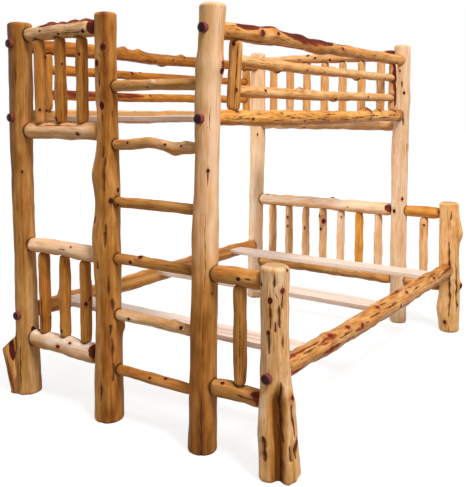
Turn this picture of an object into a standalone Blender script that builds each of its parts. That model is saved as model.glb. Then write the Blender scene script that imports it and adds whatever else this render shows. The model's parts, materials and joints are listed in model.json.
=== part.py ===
"""Log bunk bed: a twin bunk over a full bunk, framed in peeled cedar logs.

The bed is built as a log joiner builds it. Seven posts stand on the floor. Round tenons on the rails,
rungs and spindles seat in bored mortises. The side rails are drawn up to the ladder end by bolts
with turned knob heads, and sawn slats lie on ledges cut along the inside of the side rails.

Units are metres. The length runs along +Y from the ladder end to the head end, the width along +X
from the wall side to the open side, and the floor is z = 0.
"""

import math

import bmesh
import bpy
from mathutils import Vector

# Plan: distances between the posts' nominal centre lines.
BED_LENGTH = 2.12
LADDER_PANEL_WIDTH = 0.553
LADDER_WIDTH = 0.532
SIDE_PANEL_WIDTH = 0.345
TWIN_WIDTH = LADDER_PANEL_WIDTH + LADDER_WIDTH
FULL_WIDTH = TWIN_WIDTH + SIDE_PANEL_WIDTH

# Heights of the logs' centre lines. The upper bunk hangs from the tops of the tall posts, and the
# lower bunk stands up from the floor.
BED_HEIGHT = 1.80
TALL_POST_ABOVE_PANEL = 0.065
UPPER_PANEL_RISE = 0.450
UPPER_SIDE_RAIL_RISE = 0.062
GUARD_TOP_DROP = 0.043
GUARD_BAR_RISES = (0.110, 0.233)
UPPER_PANEL_TOP_Z = BED_HEIGHT - TALL_POST_ABOVE_PANEL
UPPER_PANEL_FOOT_Z = UPPER_PANEL_TOP_Z - UPPER_PANEL_RISE
UPPER_SIDE_RAIL_Z = UPPER_PANEL_FOOT_Z + UPPER_SIDE_RAIL_RISE
GUARD_TOP_Z = UPPER_PANEL_TOP_Z - GUARD_TOP_DROP
GUARD_BAR_Z = tuple(UPPER_SIDE_RAIL_Z + rise for rise in GUARD_BAR_RISES)
LOWER_PANEL_FOOT_Z = 0.280
LOWER_PANEL_RISE = 0.458
LOWER_SIDE_RAIL_RISE = 0.113
SHORT_POST_ABOVE_PANEL = 0.077
LOWER_PANEL_TOP_Z = LOWER_PANEL_FOOT_Z + LOWER_PANEL_RISE
LOWER_SIDE_RAIL_Z = LOWER_PANEL_FOOT_Z + LOWER_SIDE_RAIL_RISE
SHORT_POST_HEIGHT = LOWER_PANEL_TOP_Z + SHORT_POST_ABOVE_PANEL
FIRST_RUNG_Z = 0.238
LAST_RUNG_RISE = 0.136
LAST_RUNG_Z = UPPER_SIDE_RAIL_Z + LAST_RUNG_RISE
RUNG_COUNT = 6

# Log radii.
WALL_POST_RADIUS = 0.055
LADDER_POST_RADIUS = 0.055
OUTER_POST_RADIUS = 0.053
HEAD_POST_RADIUS = 0.054
SHORT_POST_RADIUS = 0.059
UPPER_PANEL_RADII = (0.0370, 0.0360)
LADDER_LOWER_RADII = (0.0435, 0.0370)
LADDER_SIDE_RADII = (0.0365, 0.0365)
HEAD_UPPER_RADII = (0.0340, 0.0335)
HEAD_LOWER_RADII = (0.0360, 0.0415)
HEAD_SIDE_RADII = (0.0355, 0.0380)
GUARD_RAIL_RADIUS = 0.0355
UPPER_SIDE_RAIL_RADIUS = 0.0365
LOWER_SIDE_RAIL_RADIUS = 0.0465
GUARD_UPRIGHT_RADIUS = 0.0280
GUARD_BAR_RADIUS = 0.0250
SPINDLE_RADIUS = 0.0275
RUNG_RADIUS = 0.0235
POST_CROWN = 0.008

# Counts of the spindles, which stand at even steps between posts, and places of the guard uprights.
LADDER_SPINDLES = 3
HEAD_SPINDLES = 7
OPEN_UPRIGHT_INSETS = (0.175, 0.160)
WALL_UPRIGHT_INSETS = (0.160, 0.155)

# Joinery: a tenon fills its mortise less the clearance, and the log swells to its full size over
# the shoulder.
CLEARANCE = 0.0003
RAIL_TENON_RADIUS = 0.025
RAIL_TENON_LENGTH = 0.034
RUNG_TENON_RADIUS = 0.0165
RUNG_TENON_LENGTH = 0.032
SPINDLE_TENON_RADIUS = 0.0165
SPINDLE_TENON_LENGTH = 0.022
GUARD_TENON_RADIUS = 0.0145
GUARD_TENON_LENGTH = 0.020
SHOULDER_LENGTH = 0.012

# Knob bolts that hold the side rails to the ladder end, and the matching plugs on the head posts.
# The knob's shape is (share of the height, share of the radius).
BOLT_RADIUS = 0.005
BOLT_REACH = 0.060
KNOB_RADIUS = 0.021
KNOB_HEIGHT = 0.020
KNOB_SEAT_DEPTH = 0.008
KNOB_SEAT_SHARE = 0.90
KNOB_SHAPE = ((0.0, 1.0), (0.45, 1.0), (0.80, 0.78), (1.0, 0.35))

# Slats, and the ledges in the side rails that carry them. The ledge's wall is measured from the
# rail's axis.
SLAT_WIDTH = 0.130
SLAT_THICKNESS = 0.025
SLAT_COUNT = 3
FIRST_SLAT_INSET = 0.250
LAST_SLAT_INSET = 0.330
LEDGE_WALL = 0.019
LOWER_LEDGE_LIFT = 0.004
UPPER_LEDGE_DROP = 0.018
LEDGE_END_MARGIN = 0.030

# Root spur on the wall post's foot, and the branch stubs on the short head post. The spur's shape is
# (share of the height, share of the radius).
SPUR_HEIGHT = 0.265
SPUR_RADIUS = 0.036
SPUR_FOOT_REACH = 0.0585
SPUR_REACH = 0.078
SPUR_DIRECTION = Vector((-0.83, -0.56, 0.0))
SPUR_SHAPE = ((0.0, 1.0), (0.72, 1.06), (0.90, 0.80), (1.0, 0.35))
STUB_ROOT_RADIUS = 0.026
STUB_RADIUS = 0.022
STUB_TIP_RADIUS = 0.009
STUB_DEPTH = 0.030
STUB_REACH = 0.016
STUB_HEIGHTS = (0.290, 0.600)

POST_SIDES = 12
LOG_SIDES = 8
TURNED_SIDES = 8
SHARP_ANGLE = math.radians(50)

# Finishes as (name, colour, roughness).
POST_FINISH = ("peeled_cedar_post", (0.50, 0.30, 0.13), 0.50)
RAIL_FINISH = ("peeled_cedar_rail", (0.62, 0.36, 0.13), 0.45)
SPINDLE_FINISH = ("peeled_cedar_spindle", (0.55, 0.31, 0.12), 0.45)
RUNG_FINISH = ("peeled_cedar_rung", (0.40, 0.24, 0.09), 0.50)
SLAT_FINISH = ("sawn_slat", (0.76, 0.58, 0.45), 0.65)
KNOB_FINISH = ("heartwood_knob", (0.11, 0.025, 0.020), 0.35)

# Shapes of the logs as (share of the length, offset along the first cross direction, offset along
# the second, share of the radius). The cross directions are X and Y for a post, Y and Z for a log
# that runs along X, and X and Z for one that runs along Y.
WALL_POST_SHAPE = (
    (0.00, 0.000, 0.000, 1.20),
    (0.05, 0.002, 0.000, 1.13),
    (0.16, 0.004, 0.000, 1.03),
    (0.27, 0.004, 0.000, 0.99),
    (0.44, 0.000, 0.000, 0.95),
    (0.66, -0.006, 0.000, 1.00),
    (0.90, 0.003, 0.000, 1.04),
    (1.00, 0.004, 0.000, 1.04),
)
LADDER_INNER_SHAPE = (
    (0.00, -0.002, 0.000, 1.22),
    (0.08, -0.002, 0.000, 1.20),
    (0.18, 0.002, 0.000, 1.12),
    (0.30, 0.006, 0.000, 1.02),
    (0.39, 0.004, 0.000, 1.06),
    (0.47, -0.002, 0.000, 1.12),
    (0.545, 0.010, 0.000, 0.99),
    (0.61, 0.002, 0.000, 1.08),
    (0.68, 0.014, 0.000, 0.87),
    (0.74, 0.014, 0.000, 0.82),
    (0.80, 0.010, 0.000, 0.88),
    (1.00, 0.010, 0.000, 0.87),
)
LADDER_OUTER_SHAPE = (
    (0.00, -0.012, 0.000, 1.16),
    (0.12, -0.008, 0.000, 1.08),
    (0.35, 0.001, 0.000, 1.02),
    (0.50, 0.005, 0.000, 0.97),
    (0.68, 0.018, 0.000, 0.93),
    (0.79, 0.018, 0.000, 0.98),
    (0.89, 0.032, 0.000, 0.92),
    (1.00, 0.046, 0.000, 1.02),
)
SHORT_LADDER_SHAPE = (
    (0.00, 0.009, 0.000, 1.29),
    (0.12, 0.003, 0.000, 1.24),
    (0.25, -0.004, 0.000, 1.14),
    (0.37, -0.011, 0.000, 1.05),
    (0.60, -0.016, 0.000, 0.95),
    (0.85, -0.018, 0.000, 0.93),
    (1.00, -0.018, 0.000, 0.97),
)
HEAD_WALL_SHAPE = (
    (0.00, -0.014, 0.000, 1.10),
    (0.24, -0.014, 0.000, 1.00),
    (0.40, -0.008, 0.000, 0.99),
    (0.65, 0.003, 0.000, 1.04),
    (1.00, 0.004, 0.000, 0.98),
)
HEAD_OUTER_SHAPE = (
    (0.00, 0.012, 0.000, 1.02),
    (0.26, 0.005, 0.000, 1.00),
    (0.45, 0.005, 0.000, 0.99),
    (0.63, 0.002, 0.000, 1.04),
    (0.80, 0.010, 0.000, 0.90),
    (0.90, 0.009, 0.000, 0.93),
    (1.00, 0.006, 0.000, 0.95),
)
SHORT_HEAD_SHAPE = (
    (0.00, 0.002, 0.000, 1.06),
    (0.06, 0.000, 0.000, 1.08),
    (0.15, -0.004, 0.000, 1.16),
    (0.26, 0.001, 0.000, 1.09),
    (0.60, -0.010, 0.000, 1.05),
    (1.00, -0.018, 0.000, 1.03),
)
SWOLLEN = ((0.0, 0.0, 0.0, 0.97), (0.5, 0.0, 0.0, 1.04), (1.0, 0.0, 0.0, 0.97))
PANEL_TOP_SHAPE = ((0.0, 0.0, 0.0, 0.94), (0.45, 0.0, 0.002, 1.0), (1.0, 0.0, 0.0, 1.06))
PANEL_FOOT_SHAPE = ((0.0, 0.0, 0.0, 0.98), (0.5, 0.0, 0.003, 1.04), (1.0, 0.0, 0.0, 1.08))
OPEN_GUARD_SHAPE = (
    (0.00, 0.000, 0.000, 1.03),
    (0.10, 0.000, 0.006, 1.06),
    (0.20, 0.000, 0.011, 1.14),
    (0.30, 0.000, 0.004, 0.92),
    (0.45, 0.000, 0.002, 0.90),
    (0.70, 0.000, 0.004, 0.86),
    (1.00, 0.000, 0.004, 0.90),
)
WALL_GUARD_SHAPE = (
    (0.00, 0.000, -0.004, 1.00),
    (0.14, 0.000, -0.002, 1.06),
    (0.30, 0.000, 0.002, 1.00),
    (0.45, 0.000, -0.010, 0.96),
    (0.65, 0.000, -0.003, 0.92),
    (1.00, 0.000, 0.004, 0.92),
)
SIDE_RAIL_SHAPE = (
    (0.00, 0.000, 0.004, 0.94),
    (0.30, 0.000, -0.003, 1.03),
    (0.60, 0.000, -0.003, 1.01),
    (1.00, 0.000, 0.004, 0.94),
)
LOWER_RAIL_SHAPE = (
    (0.00, 0.000, 0.006, 0.90),
    (0.25, 0.000, -0.005, 0.97),
    (0.55, 0.000, -0.002, 1.06),
    (0.85, 0.000, 0.001, 1.00),
    (1.00, 0.000, -0.002, 0.93),
)
BAR_SHAPE = ((0.0, 0.0, 0.002, 1.05), (0.4, 0.0, -0.003, 1.0), (1.0, 0.0, 0.003, 0.95))
RUNG_SHAPE = ((0.0, 0.0, 0.0, 1.0), (0.5, 0.0, 0.002, 1.04), (1.0, 0.0, 0.0, 1.0))
CROOKED_RUNG_SHAPE = (
    (0.00, 0.000, 0.000, 0.98),
    (0.20, 0.000, 0.003, 0.96),
    (0.40, 0.000, 0.014, 1.04),
    (0.55, 0.000, 0.008, 0.94),
    (0.70, 0.000, -0.006, 1.08),
    (1.00, 0.000, -0.003, 1.04),
)

CROSS_DIRECTIONS = {
    "X": (Vector((0, 1, 0)), Vector((0, 0, 1))),
    "Y": (Vector((1, 0, 0)), Vector((0, 0, 1))),
    "Z": (Vector((1, 0, 0)), Vector((0, 1, 0))),
}
AXES = "XYZ"


def clear_scene():
    """Leave the scene with no objects."""
    for item in list(bpy.data.objects):
        bpy.data.objects.remove(item)


def wood(name, colour, roughness):
    """A plain wood finish."""
    material = bpy.data.materials.new(name)
    material.use_nodes = True
    shader = material.node_tree.nodes["Principled BSDF"]
    shader.inputs["Base Color"].default_value = (*colour, 1.0)
    shader.inputs["Roughness"].default_value = roughness
    shader.inputs["Metallic"].default_value = 0.0
    return material


def add_tube(mesh, rings, sides, first, second):
    """Add one closed tube to a bmesh. Each ring is (centre, radius), square to the two cross directions."""
    turn = math.pi / sides
    loops = []
    for centre, radius in rings:
        loop = []
        for side in range(sides):
            angle = turn + 2 * math.pi * side / sides
            offset = first * math.cos(angle) + second * math.sin(angle)
            loop.append(mesh.verts.new(centre + offset * radius))
        loops.append(loop)
    for low, high in zip(loops, loops[1:]):
        for side in range(sides):
            after = (side + 1) % sides
            mesh.faces.new((low[side], low[after], high[after], high[side]))
    mesh.faces.new(reversed(loops[0]))
    mesh.faces.new(loops[-1])


def add_box(mesh, low, high):
    """Add one box to a bmesh, given two opposite corners."""
    size = high - low
    made = bmesh.ops.create_cube(mesh, size=1.0)["verts"]
    bmesh.ops.scale(mesh, vec=size, verts=made)
    bmesh.ops.translate(mesh, vec=(low + high) / 2, verts=made)


def make_object(name, mesh, material=None):
    """Turn a bmesh into an object on the bed, with outward faces and smooth round sides."""
    bmesh.ops.recalc_face_normals(mesh, faces=mesh.faces)
    data = bpy.data.meshes.new(name)
    mesh.to_mesh(data)
    mesh.free()
    data.shade_smooth()
    data.set_sharp_from_angle(angle=SHARP_ANGLE)
    item = bpy.data.objects.new(name, data)
    bpy.context.scene.collection.objects.link(item)
    if material:
        data.materials.append(material)
    return item


def apply_shape(item, operation, helper):
    """Cut a helper shape out of an object, or join it on."""
    helper.hide_render = True
    helper.display_type = "WIRE"
    modifier = item.modifiers.new(helper.name, "BOOLEAN")
    modifier.operation = operation
    modifier.solver = "EXACT"
    modifier.object = helper


class Log:
    """A peeled log along X, Y or Z: nominal ends, a radius, and stations that bend and swell it."""

    def __init__(self, name, direction, start, end, radius, shape, sides=LOG_SIDES):
        self.name = name
        self.direction = direction
        self.start = Vector(start)
        self.end = Vector(end)
        self.radius = radius
        self.shape = shape
        self.sides = sides
        self.cuts = {}
        self.boxes = []
        self.joined = []

    def point(self, share):
        """Centre and radius of the log at a share of its length."""
        for low, high in zip(self.shape, self.shape[1:]):
            if share <= high[0] or high is self.shape[-1]:
                blend = (share - low[0]) / (high[0] - low[0])
                side, lift, factor = (low[i] + (high[i] - low[i]) * blend for i in (1, 2, 3))
                break
        first, second = CROSS_DIRECTIONS[self.direction]
        centre = self.start.lerp(self.end, share) + first * side + second * lift
        return centre, self.radius * factor

    def at(self, value):
        """Centre and radius where the log passes a coordinate on its own axis."""
        index = AXES.index(self.direction)
        share = (value - self.start[index]) / (self.end[index] - self.start[index])
        return self.point(share)

    def cut(self, group, origin, axis, radius, length, sides=LOG_SIDES):
        """Bore a round hole from a point along an axis. Holes of one group don't meet."""
        self.cuts.setdefault(group, []).append((origin, axis, radius, length, sides))

    def rings(self):
        """The log's own rings, from end to end."""
        return [self.point(station[0]) for station in self.shape]

    def build(self, material):
        """Make the object, then bore, notch and join it."""
        mesh = bmesh.new()
        add_tube(mesh, self.rings(), self.sides, *CROSS_DIRECTIONS[self.direction])
        item = make_object(self.name, mesh, material)
        for part in self.joined:
            apply_shape(item, "UNION", part)
        for group, holes in self.cuts.items():
            mesh = bmesh.new()
            for origin, axis, radius, length, sides in holes:
                direction = max(AXES, key=lambda letter: abs(axis[AXES.index(letter)]))
                ends = [(origin, radius), (origin + axis * length, radius)]
                add_tube(mesh, ends, sides, *CROSS_DIRECTIONS[direction])
            apply_shape(item, "DIFFERENCE", make_object(f"{self.name}.{group}", mesh))
        for low, high in self.boxes:
            mesh = bmesh.new()
            add_box(mesh, low, high)
            apply_shape(item, "DIFFERENCE", make_object(f"{self.name}.ledge", mesh))
        return item


class Post(Log):
    """A log that stands on the floor, with a flat foot and a crowned top."""

    def __init__(self, name, place, height, radius, shape):
        foot = Vector((*place, 0.0))
        top = Vector((*place, height))
        super().__init__(name, "Z", foot, top, radius, shape, POST_SIDES)

    def rings(self):
        rings = super().rings()
        centre, radius = rings[-1]
        rings[-1] = (centre - Vector((0, 0, POST_CROWN)), radius)
        rings.append((centre, radius - POST_CROWN))
        return rings


class TenonedLog(Log):
    """A log whose two ends are tenons, bored into two other logs."""

    def __init__(self, name, direction, hosts, place, radius, shape, tenon, fused_start=False):
        """place is the coordinate on each host's own axis where the log meets it.

        A fused start is one solid with its host, so the host isn't bored there.
        """
        self.tenon_radius, self.tenon_length = tenon
        centres = [host.at(value) for host, value in zip(hosts, place)]
        span = (centres[1][0] - centres[0][0]).normalized()
        start = centres[0][0] + span * centres[0][1]
        end = centres[1][0] - span * centres[1][1]
        super().__init__(name, direction, start, end, radius, shape)
        self.span = span
        depth = self.tenon_length + CLEARANCE
        bore = self.tenon_radius + CLEARANCE / math.cos(math.pi / LOG_SIDES)
        for host, surface, inward in ((hosts[0], start, -span), (hosts[1], end, span)):
            if fused_start and host is hosts[0]:
                continue
            mouth = surface - inward * SHOULDER_LENGTH
            host.cut(f"mortises_{direction.lower()}", mouth, inward, bore, SHOULDER_LENGTH + depth)

    def rings(self):
        """Tenon, shoulder, body, shoulder and tenon."""
        length = (self.end - self.start).length
        shoulder = SHOULDER_LENGTH / length
        stations = [shoulder]
        stations += [station[0] for station in self.shape if shoulder < station[0] < 1 - shoulder]
        stations += [1 - shoulder]
        body = [self.point(share) for share in stations]
        start_tip = self.start - self.span * self.tenon_length
        end_tip = self.end + self.span * self.tenon_length
        ends = [(start_tip, self.tenon_radius), (self.start, self.tenon_radius)]
        return ends + body + [(self.end, self.tenon_radius), (end_tip, self.tenon_radius)]


def turned(name, origin, axis, profile, material=None):
    """A turned piece along Y: profile is (distance along the axis, radius)."""
    mesh = bmesh.new()
    rings = [(origin + axis * distance, radius) for distance, radius in profile]
    add_tube(mesh, rings, TURNED_SIDES, *CROSS_DIRECTIONS["Y"])
    return make_object(name, mesh, material)


def knob_profile(base):
    """The round head of a knob, from its seat outwards."""
    rim = base + KNOB_SEAT_DEPTH
    head = [(rim + KNOB_HEIGHT * height, KNOB_RADIUS * width) for height, width in KNOB_SHAPE]
    return [(base, KNOB_RADIUS * KNOB_SEAT_SHARE), *head]


def knob_bolt(name, post, rail, material):
    """A bolt with a turned head: through the post in line with the rail, into the rail's end."""
    inward = rail.span
    centre, radius = post.at(rail.start.z)
    seat = centre - inward * (radius - KNOB_SEAT_DEPTH)
    tip = rail.start + inward * (BOLT_REACH - rail.tenon_length)
    reach = (tip - seat).length
    bore = BOLT_RADIUS + CLEARANCE / math.cos(math.pi / TURNED_SIDES)
    run_out = KNOB_SEAT_DEPTH + radius
    post.cut("bolt_bores", seat, inward, bore, 2 * radius, TURNED_SIDES)
    post.cut("knob_seats", seat, -inward, KNOB_RADIUS + 2 * CLEARANCE, run_out, TURNED_SIDES)
    rail_face = rail.start - inward * (rail.tenon_length + CLEARANCE)
    rail.cut("bolt_bores", rail_face, inward, bore, BOLT_REACH + 2 * CLEARANCE, TURNED_SIDES)
    shank = [(-reach, BOLT_RADIUS), (CLEARANCE, BOLT_RADIUS)]
    return turned(name, seat, -inward, shank + knob_profile(CLEARANCE), material)


def head_plug(name, post, rail):
    """The glued plug that covers the bolt on a head post, as a shape to join to the post."""
    outward = rail.span
    centre, radius = post.at(rail.end.z)
    seat = centre + outward * (radius - KNOB_SEAT_DEPTH)
    root = (-KNOB_SEAT_DEPTH, KNOB_RADIUS * KNOB_SEAT_SHARE)
    post.joined.append(turned(name, seat, outward, [root, *knob_profile(0.0)]))


def make_posts():
    """The seven posts, by name."""
    tall = BED_HEIGHT
    short = SHORT_POST_HEIGHT
    far = BED_LENGTH
    return {
        "wall": Post("post_ladder_wall", (0, 0), tall, WALL_POST_RADIUS, WALL_POST_SHAPE),
        "inner": Post(
            "post_ladder_inner", (LADDER_PANEL_WIDTH, 0), tall, LADDER_POST_RADIUS, LADDER_INNER_SHAPE
        ),
        "outer": Post("post_ladder_outer", (TWIN_WIDTH, 0), tall, OUTER_POST_RADIUS, LADDER_OUTER_SHAPE),
        "short": Post("post_ladder_short", (FULL_WIDTH, 0), short, SHORT_POST_RADIUS, SHORT_LADDER_SHAPE),
        "head_wall": Post("post_head_wall", (0, far), tall, HEAD_POST_RADIUS, HEAD_WALL_SHAPE),
        "head_outer": Post("post_head_outer", (TWIN_WIDTH, far), tall, HEAD_POST_RADIUS, HEAD_OUTER_SHAPE),
        "head_short": Post("post_head_short", (FULL_WIDTH, far), short, SHORT_POST_RADIUS, SHORT_HEAD_SHAPE),
    }


def cross_rail(name, left, right, height, radius, shape):
    """A rail along X between two posts of one end."""
    tenon = (RAIL_TENON_RADIUS, RAIL_TENON_LENGTH)
    return TenonedLog(name, "X", (left, right), (height, height), radius, shape, tenon)


def spindle(name, foot_rail, top_rail, x, fused=False):
    """A spindle along Z between two rails of a panel."""
    tenon = (SPINDLE_TENON_RADIUS, SPINDLE_TENON_LENGTH)
    return TenonedLog(name, "Z", (foot_rail, top_rail), (x, x), SPINDLE_RADIUS, SWOLLEN, tenon, fused)


def side_rail(name, near, far, height, radius, shape):
    """A rail along Y between a ladder post and a head post."""
    tenon = (RAIL_TENON_RADIUS, RAIL_TENON_LENGTH)
    return TenonedLog(name, "Y", (near, far), (height, height), radius, shape, tenon)


def panel(prefix, left, right, heights, radii, places, fuse=False):
    """A foot rail, a top rail and the spindles between them.

    Fused spindles are one comb with the foot rail.
    """
    top = cross_rail(f"{prefix}_top_rail", left, right, heights[1], radii[1], PANEL_TOP_SHAPE)
    foot_name = f"{prefix}_spindle_rail" if fuse else f"{prefix}_foot_rail"
    foot = cross_rail(foot_name, left, right, heights[0], radii[0], PANEL_FOOT_SHAPE)
    spindles = []
    for number, x in enumerate(places, 1):
        name = f"{prefix}_spindle_{number}" if len(places) > 1 else f"{prefix}_spindle"
        spindles.append(spindle(name, foot, top, x, fuse))
    if fuse:
        mesh = bmesh.new()
        for item in spindles:
            add_tube(mesh, item.rings(), item.sides, *CROSS_DIRECTIONS["Z"])
        foot.joined.append(make_object(f"{prefix}.spindles", mesh))
        return [top, foot]
    return [top, foot, *spindles]


def even_steps(width, count):
    """Places that divide a width into equal steps."""
    return [width * (number + 1) / (count + 1) for number in range(count)]


def make_panels(posts):
    """The upper and lower panels of both ends, and the narrow panels out to the short posts."""
    upper = (UPPER_PANEL_FOOT_Z, UPPER_PANEL_TOP_Z)
    lower = (LOWER_PANEL_FOOT_Z, LOWER_PANEL_TOP_Z)
    ladder_places = even_steps(LADDER_PANEL_WIDTH, LADDER_SPINDLES)
    head_places = even_steps(TWIN_WIDTH, HEAD_SPINDLES)
    side_places = [TWIN_WIDTH + SIDE_PANEL_WIDTH / 2]
    wall, inner, outer, short = (posts[name] for name in ("wall", "inner", "outer", "short"))
    head_wall, head_outer, head_short = (posts[name] for name in ("head_wall", "head_outer", "head_short"))
    logs = panel("ladder_upper", wall, inner, upper, UPPER_PANEL_RADII, ladder_places)
    logs += panel("ladder_lower", wall, inner, lower, LADDER_LOWER_RADII, ladder_places)
    logs += panel("ladder_side", outer, short, lower, LADDER_SIDE_RADII, side_places)
    logs += panel("head_upper", head_wall, head_outer, upper, HEAD_UPPER_RADII, head_places, fuse=True)
    logs += panel("head_lower", head_wall, head_outer, lower, HEAD_LOWER_RADII, head_places, fuse=True)
    logs += panel("head_side", head_outer, head_short, lower, HEAD_SIDE_RADII, side_places)
    return logs


def make_rungs(posts):
    """The ladder's rungs, between the inner and the outer ladder post."""
    rungs = []
    hosts = (posts["inner"], posts["outer"])
    tenon = (RUNG_TENON_RADIUS, RUNG_TENON_LENGTH)
    step = (LAST_RUNG_Z - FIRST_RUNG_Z) / (RUNG_COUNT - 1)
    second_from_top = RUNG_COUNT - 2
    for number in range(RUNG_COUNT):
        height = FIRST_RUNG_Z + step * number
        shape = CROOKED_RUNG_SHAPE if number == second_from_top else RUNG_SHAPE
        name = f"ladder_rung_{number + 1}"
        rungs.append(TenonedLog(name, "X", hosts, (height, height), RUNG_RADIUS, shape, tenon))
    return rungs


def guard(prefix, near, far, shape, insets):
    """One long side of the upper bunk: side rail, top rail, two uprights, and bars between the uprights."""
    rail = side_rail(
        f"upper_side_rail_{prefix}", near, far, UPPER_SIDE_RAIL_Z, UPPER_SIDE_RAIL_RADIUS, SIDE_RAIL_SHAPE
    )
    top = side_rail(f"guard_top_rail_{prefix}", near, far, GUARD_TOP_Z, GUARD_RAIL_RADIUS, shape)
    tenon = (GUARD_TENON_RADIUS, GUARD_TENON_LENGTH)
    uprights = []
    for end, y in (("ladder", insets[0]), ("head", BED_LENGTH - insets[1])):
        name = f"guard_upright_{prefix}_{end}"
        uprights.append(TenonedLog(name, "Z", (rail, top), (y, y), GUARD_UPRIGHT_RADIUS, SWOLLEN, tenon))
    bars = []
    for level, z in zip(("lower", "upper"), GUARD_BAR_Z):
        name = f"guard_bar_{prefix}_{level}"
        bars.append(TenonedLog(name, "Y", uprights, (z, z), GUARD_BAR_RADIUS, BAR_SHAPE, tenon))
    return rail, top, [*uprights, *bars]


def slat_places():
    """Y of each slat, at even steps from the first to the last."""
    step = (BED_LENGTH - FIRST_SLAT_INSET - LAST_SLAT_INSET) / (SLAT_COUNT - 1)
    return [FIRST_SLAT_INSET + step * number for number in range(SLAT_COUNT)]


def cut_ledge(rail, inward, ledge_z):
    """Cut the ledge for the slats along a rail's inner side, and give the x of the ledge's wall."""
    wall_x = rail.start.x + inward * LEDGE_WALL
    outer_x = wall_x + inward * 2 * rail.radius
    low = Vector((min(wall_x, outer_x), rail.start.y + LEDGE_END_MARGIN, ledge_z))
    high = Vector((max(wall_x, outer_x), rail.end.y - LEDGE_END_MARGIN, ledge_z + 2 * rail.radius))
    rail.boxes.append((low, high))
    return wall_x


def make_slats(prefix, wall_rail, open_rail, ledge_z, material):
    """Boards that lie on the ledges of two side rails."""
    low_x = cut_ledge(wall_rail, 1, ledge_z) + CLEARANCE
    high_x = cut_ledge(open_rail, -1, ledge_z) - CLEARANCE
    low_z = ledge_z + CLEARANCE
    for number, y in enumerate(slat_places(), 1):
        mesh = bmesh.new()
        low = Vector((low_x, y - SLAT_WIDTH / 2, low_z))
        high = Vector((high_x, y + SLAT_WIDTH / 2, low_z + SLAT_THICKNESS))
        add_box(mesh, low, high)
        make_object(f"{prefix}_slat_{number}", mesh, material)


def add_root_spur(post):
    """The sawn-off root on the wall post's foot."""
    low = post.start + SPUR_DIRECTION * SPUR_FOOT_REACH
    high = post.start + SPUR_DIRECTION * SPUR_REACH + Vector((0, 0, SPUR_HEIGHT))
    rings = [(low.lerp(high, height), SPUR_RADIUS * width) for height, width in SPUR_SHAPE]
    mesh = bmesh.new()
    add_tube(mesh, rings, LOG_SIDES, *CROSS_DIRECTIONS["Z"])
    post.joined.append(make_object("root_spur", mesh))


def add_branch_stubs(post):
    """The trimmed branch stubs on the short head post's open side."""
    mesh = bmesh.new()
    outward = Vector((1, 0, 0))
    for height in STUB_HEIGHTS:
        centre, radius = post.at(height)
        surface = centre + outward * radius
        rings = [
            (surface - outward * STUB_DEPTH, STUB_ROOT_RADIUS),
            (surface, STUB_RADIUS),
            (surface + outward * STUB_REACH, STUB_TIP_RADIUS),
        ]
        add_tube(mesh, rings, LOG_SIDES, *CROSS_DIRECTIONS["X"])
    post.joined.append(make_object("branch_stubs", mesh))


def stand_on_origin(items):
    """Put the bed on an empty so that the origin is the middle of its footprint, on the floor."""
    graph = bpy.context.evaluated_depsgraph_get()
    solids = [item.evaluated_get(graph) for item in items if not item.hide_render]
    corners = [Vector(corner) for solid in solids for corner in solid.bound_box]
    middle_x = (min(corner.x for corner in corners) + max(corner.x for corner in corners)) / 2
    middle_y = (min(corner.y for corner in corners) + max(corner.y for corner in corners)) / 2
    bed = bpy.data.objects.new("bed", None)
    bpy.context.scene.collection.objects.link(bed)
    bed.location = (-middle_x, -middle_y, 0.0)
    for item in items:
        item.parent = bed
    print(f"footprint centre before the shift: x {middle_x:.6f}, y {middle_y:.6f}")


def main():
    clear_scene()
    post_wood = wood(*POST_FINISH)
    rail_wood = wood(*RAIL_FINISH)
    spindle_wood = wood(*SPINDLE_FINISH)
    rung_wood = wood(*RUNG_FINISH)
    slat_wood = wood(*SLAT_FINISH)
    knob_wood = wood(*KNOB_FINISH)

    posts = make_posts()
    add_root_spur(posts["wall"])
    add_branch_stubs(posts["head_short"])
    panel_logs = make_panels(posts)
    rungs = make_rungs(posts)
    open_rail, open_top, open_guard = guard(
        "open", posts["outer"], posts["head_outer"], OPEN_GUARD_SHAPE, OPEN_UPRIGHT_INSETS
    )
    wall_rail, wall_top, wall_guard = guard(
        "wall", posts["wall"], posts["head_wall"], WALL_GUARD_SHAPE, WALL_UPRIGHT_INSETS
    )
    low_radius, low_shape = LOWER_SIDE_RAIL_RADIUS, LOWER_RAIL_SHAPE
    open_low = side_rail(
        "lower_side_rail_open", posts["short"], posts["head_short"], LOWER_SIDE_RAIL_Z, low_radius, low_shape
    )
    wall_low = side_rail(
        "lower_side_rail_wall", posts["wall"], posts["head_wall"], LOWER_SIDE_RAIL_Z, low_radius, low_shape
    )

    bolted = {
        "guard_open": (posts["outer"], posts["head_outer"], open_top),
        "guard_wall": (posts["wall"], posts["head_wall"], wall_top),
        "upper_open": (posts["outer"], posts["head_outer"], open_rail),
        "upper_wall": (posts["wall"], posts["head_wall"], wall_rail),
        "lower_open": (posts["short"], posts["head_short"], open_low),
        "lower_wall": (posts["wall"], posts["head_wall"], wall_low),
    }
    for place, (near, far, rail) in bolted.items():
        knob_bolt(f"knob_bolt_{place}", near, rail, knob_wood)
        head_plug(f"plug_{place}", far, rail)
    make_slats("lower", wall_low, open_low, LOWER_SIDE_RAIL_Z + LOWER_LEDGE_LIFT, slat_wood)
    make_slats("upper", wall_rail, open_rail, UPPER_SIDE_RAIL_Z - UPPER_LEDGE_DROP, slat_wood)

    for post in posts.values():
        post.build(post_wood)
    for log in panel_logs:
        log.build(spindle_wood if log.direction == "Z" else rail_wood)
    for rung in rungs:
        rung.build(rung_wood)
    for log in (open_rail, open_top, wall_rail, wall_top, open_low, wall_low):
        log.build(rail_wood)
    for log in (*open_guard, *wall_guard):
        log.build(spindle_wood)
    stand_on_origin(list(bpy.data.objects))


main()
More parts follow.
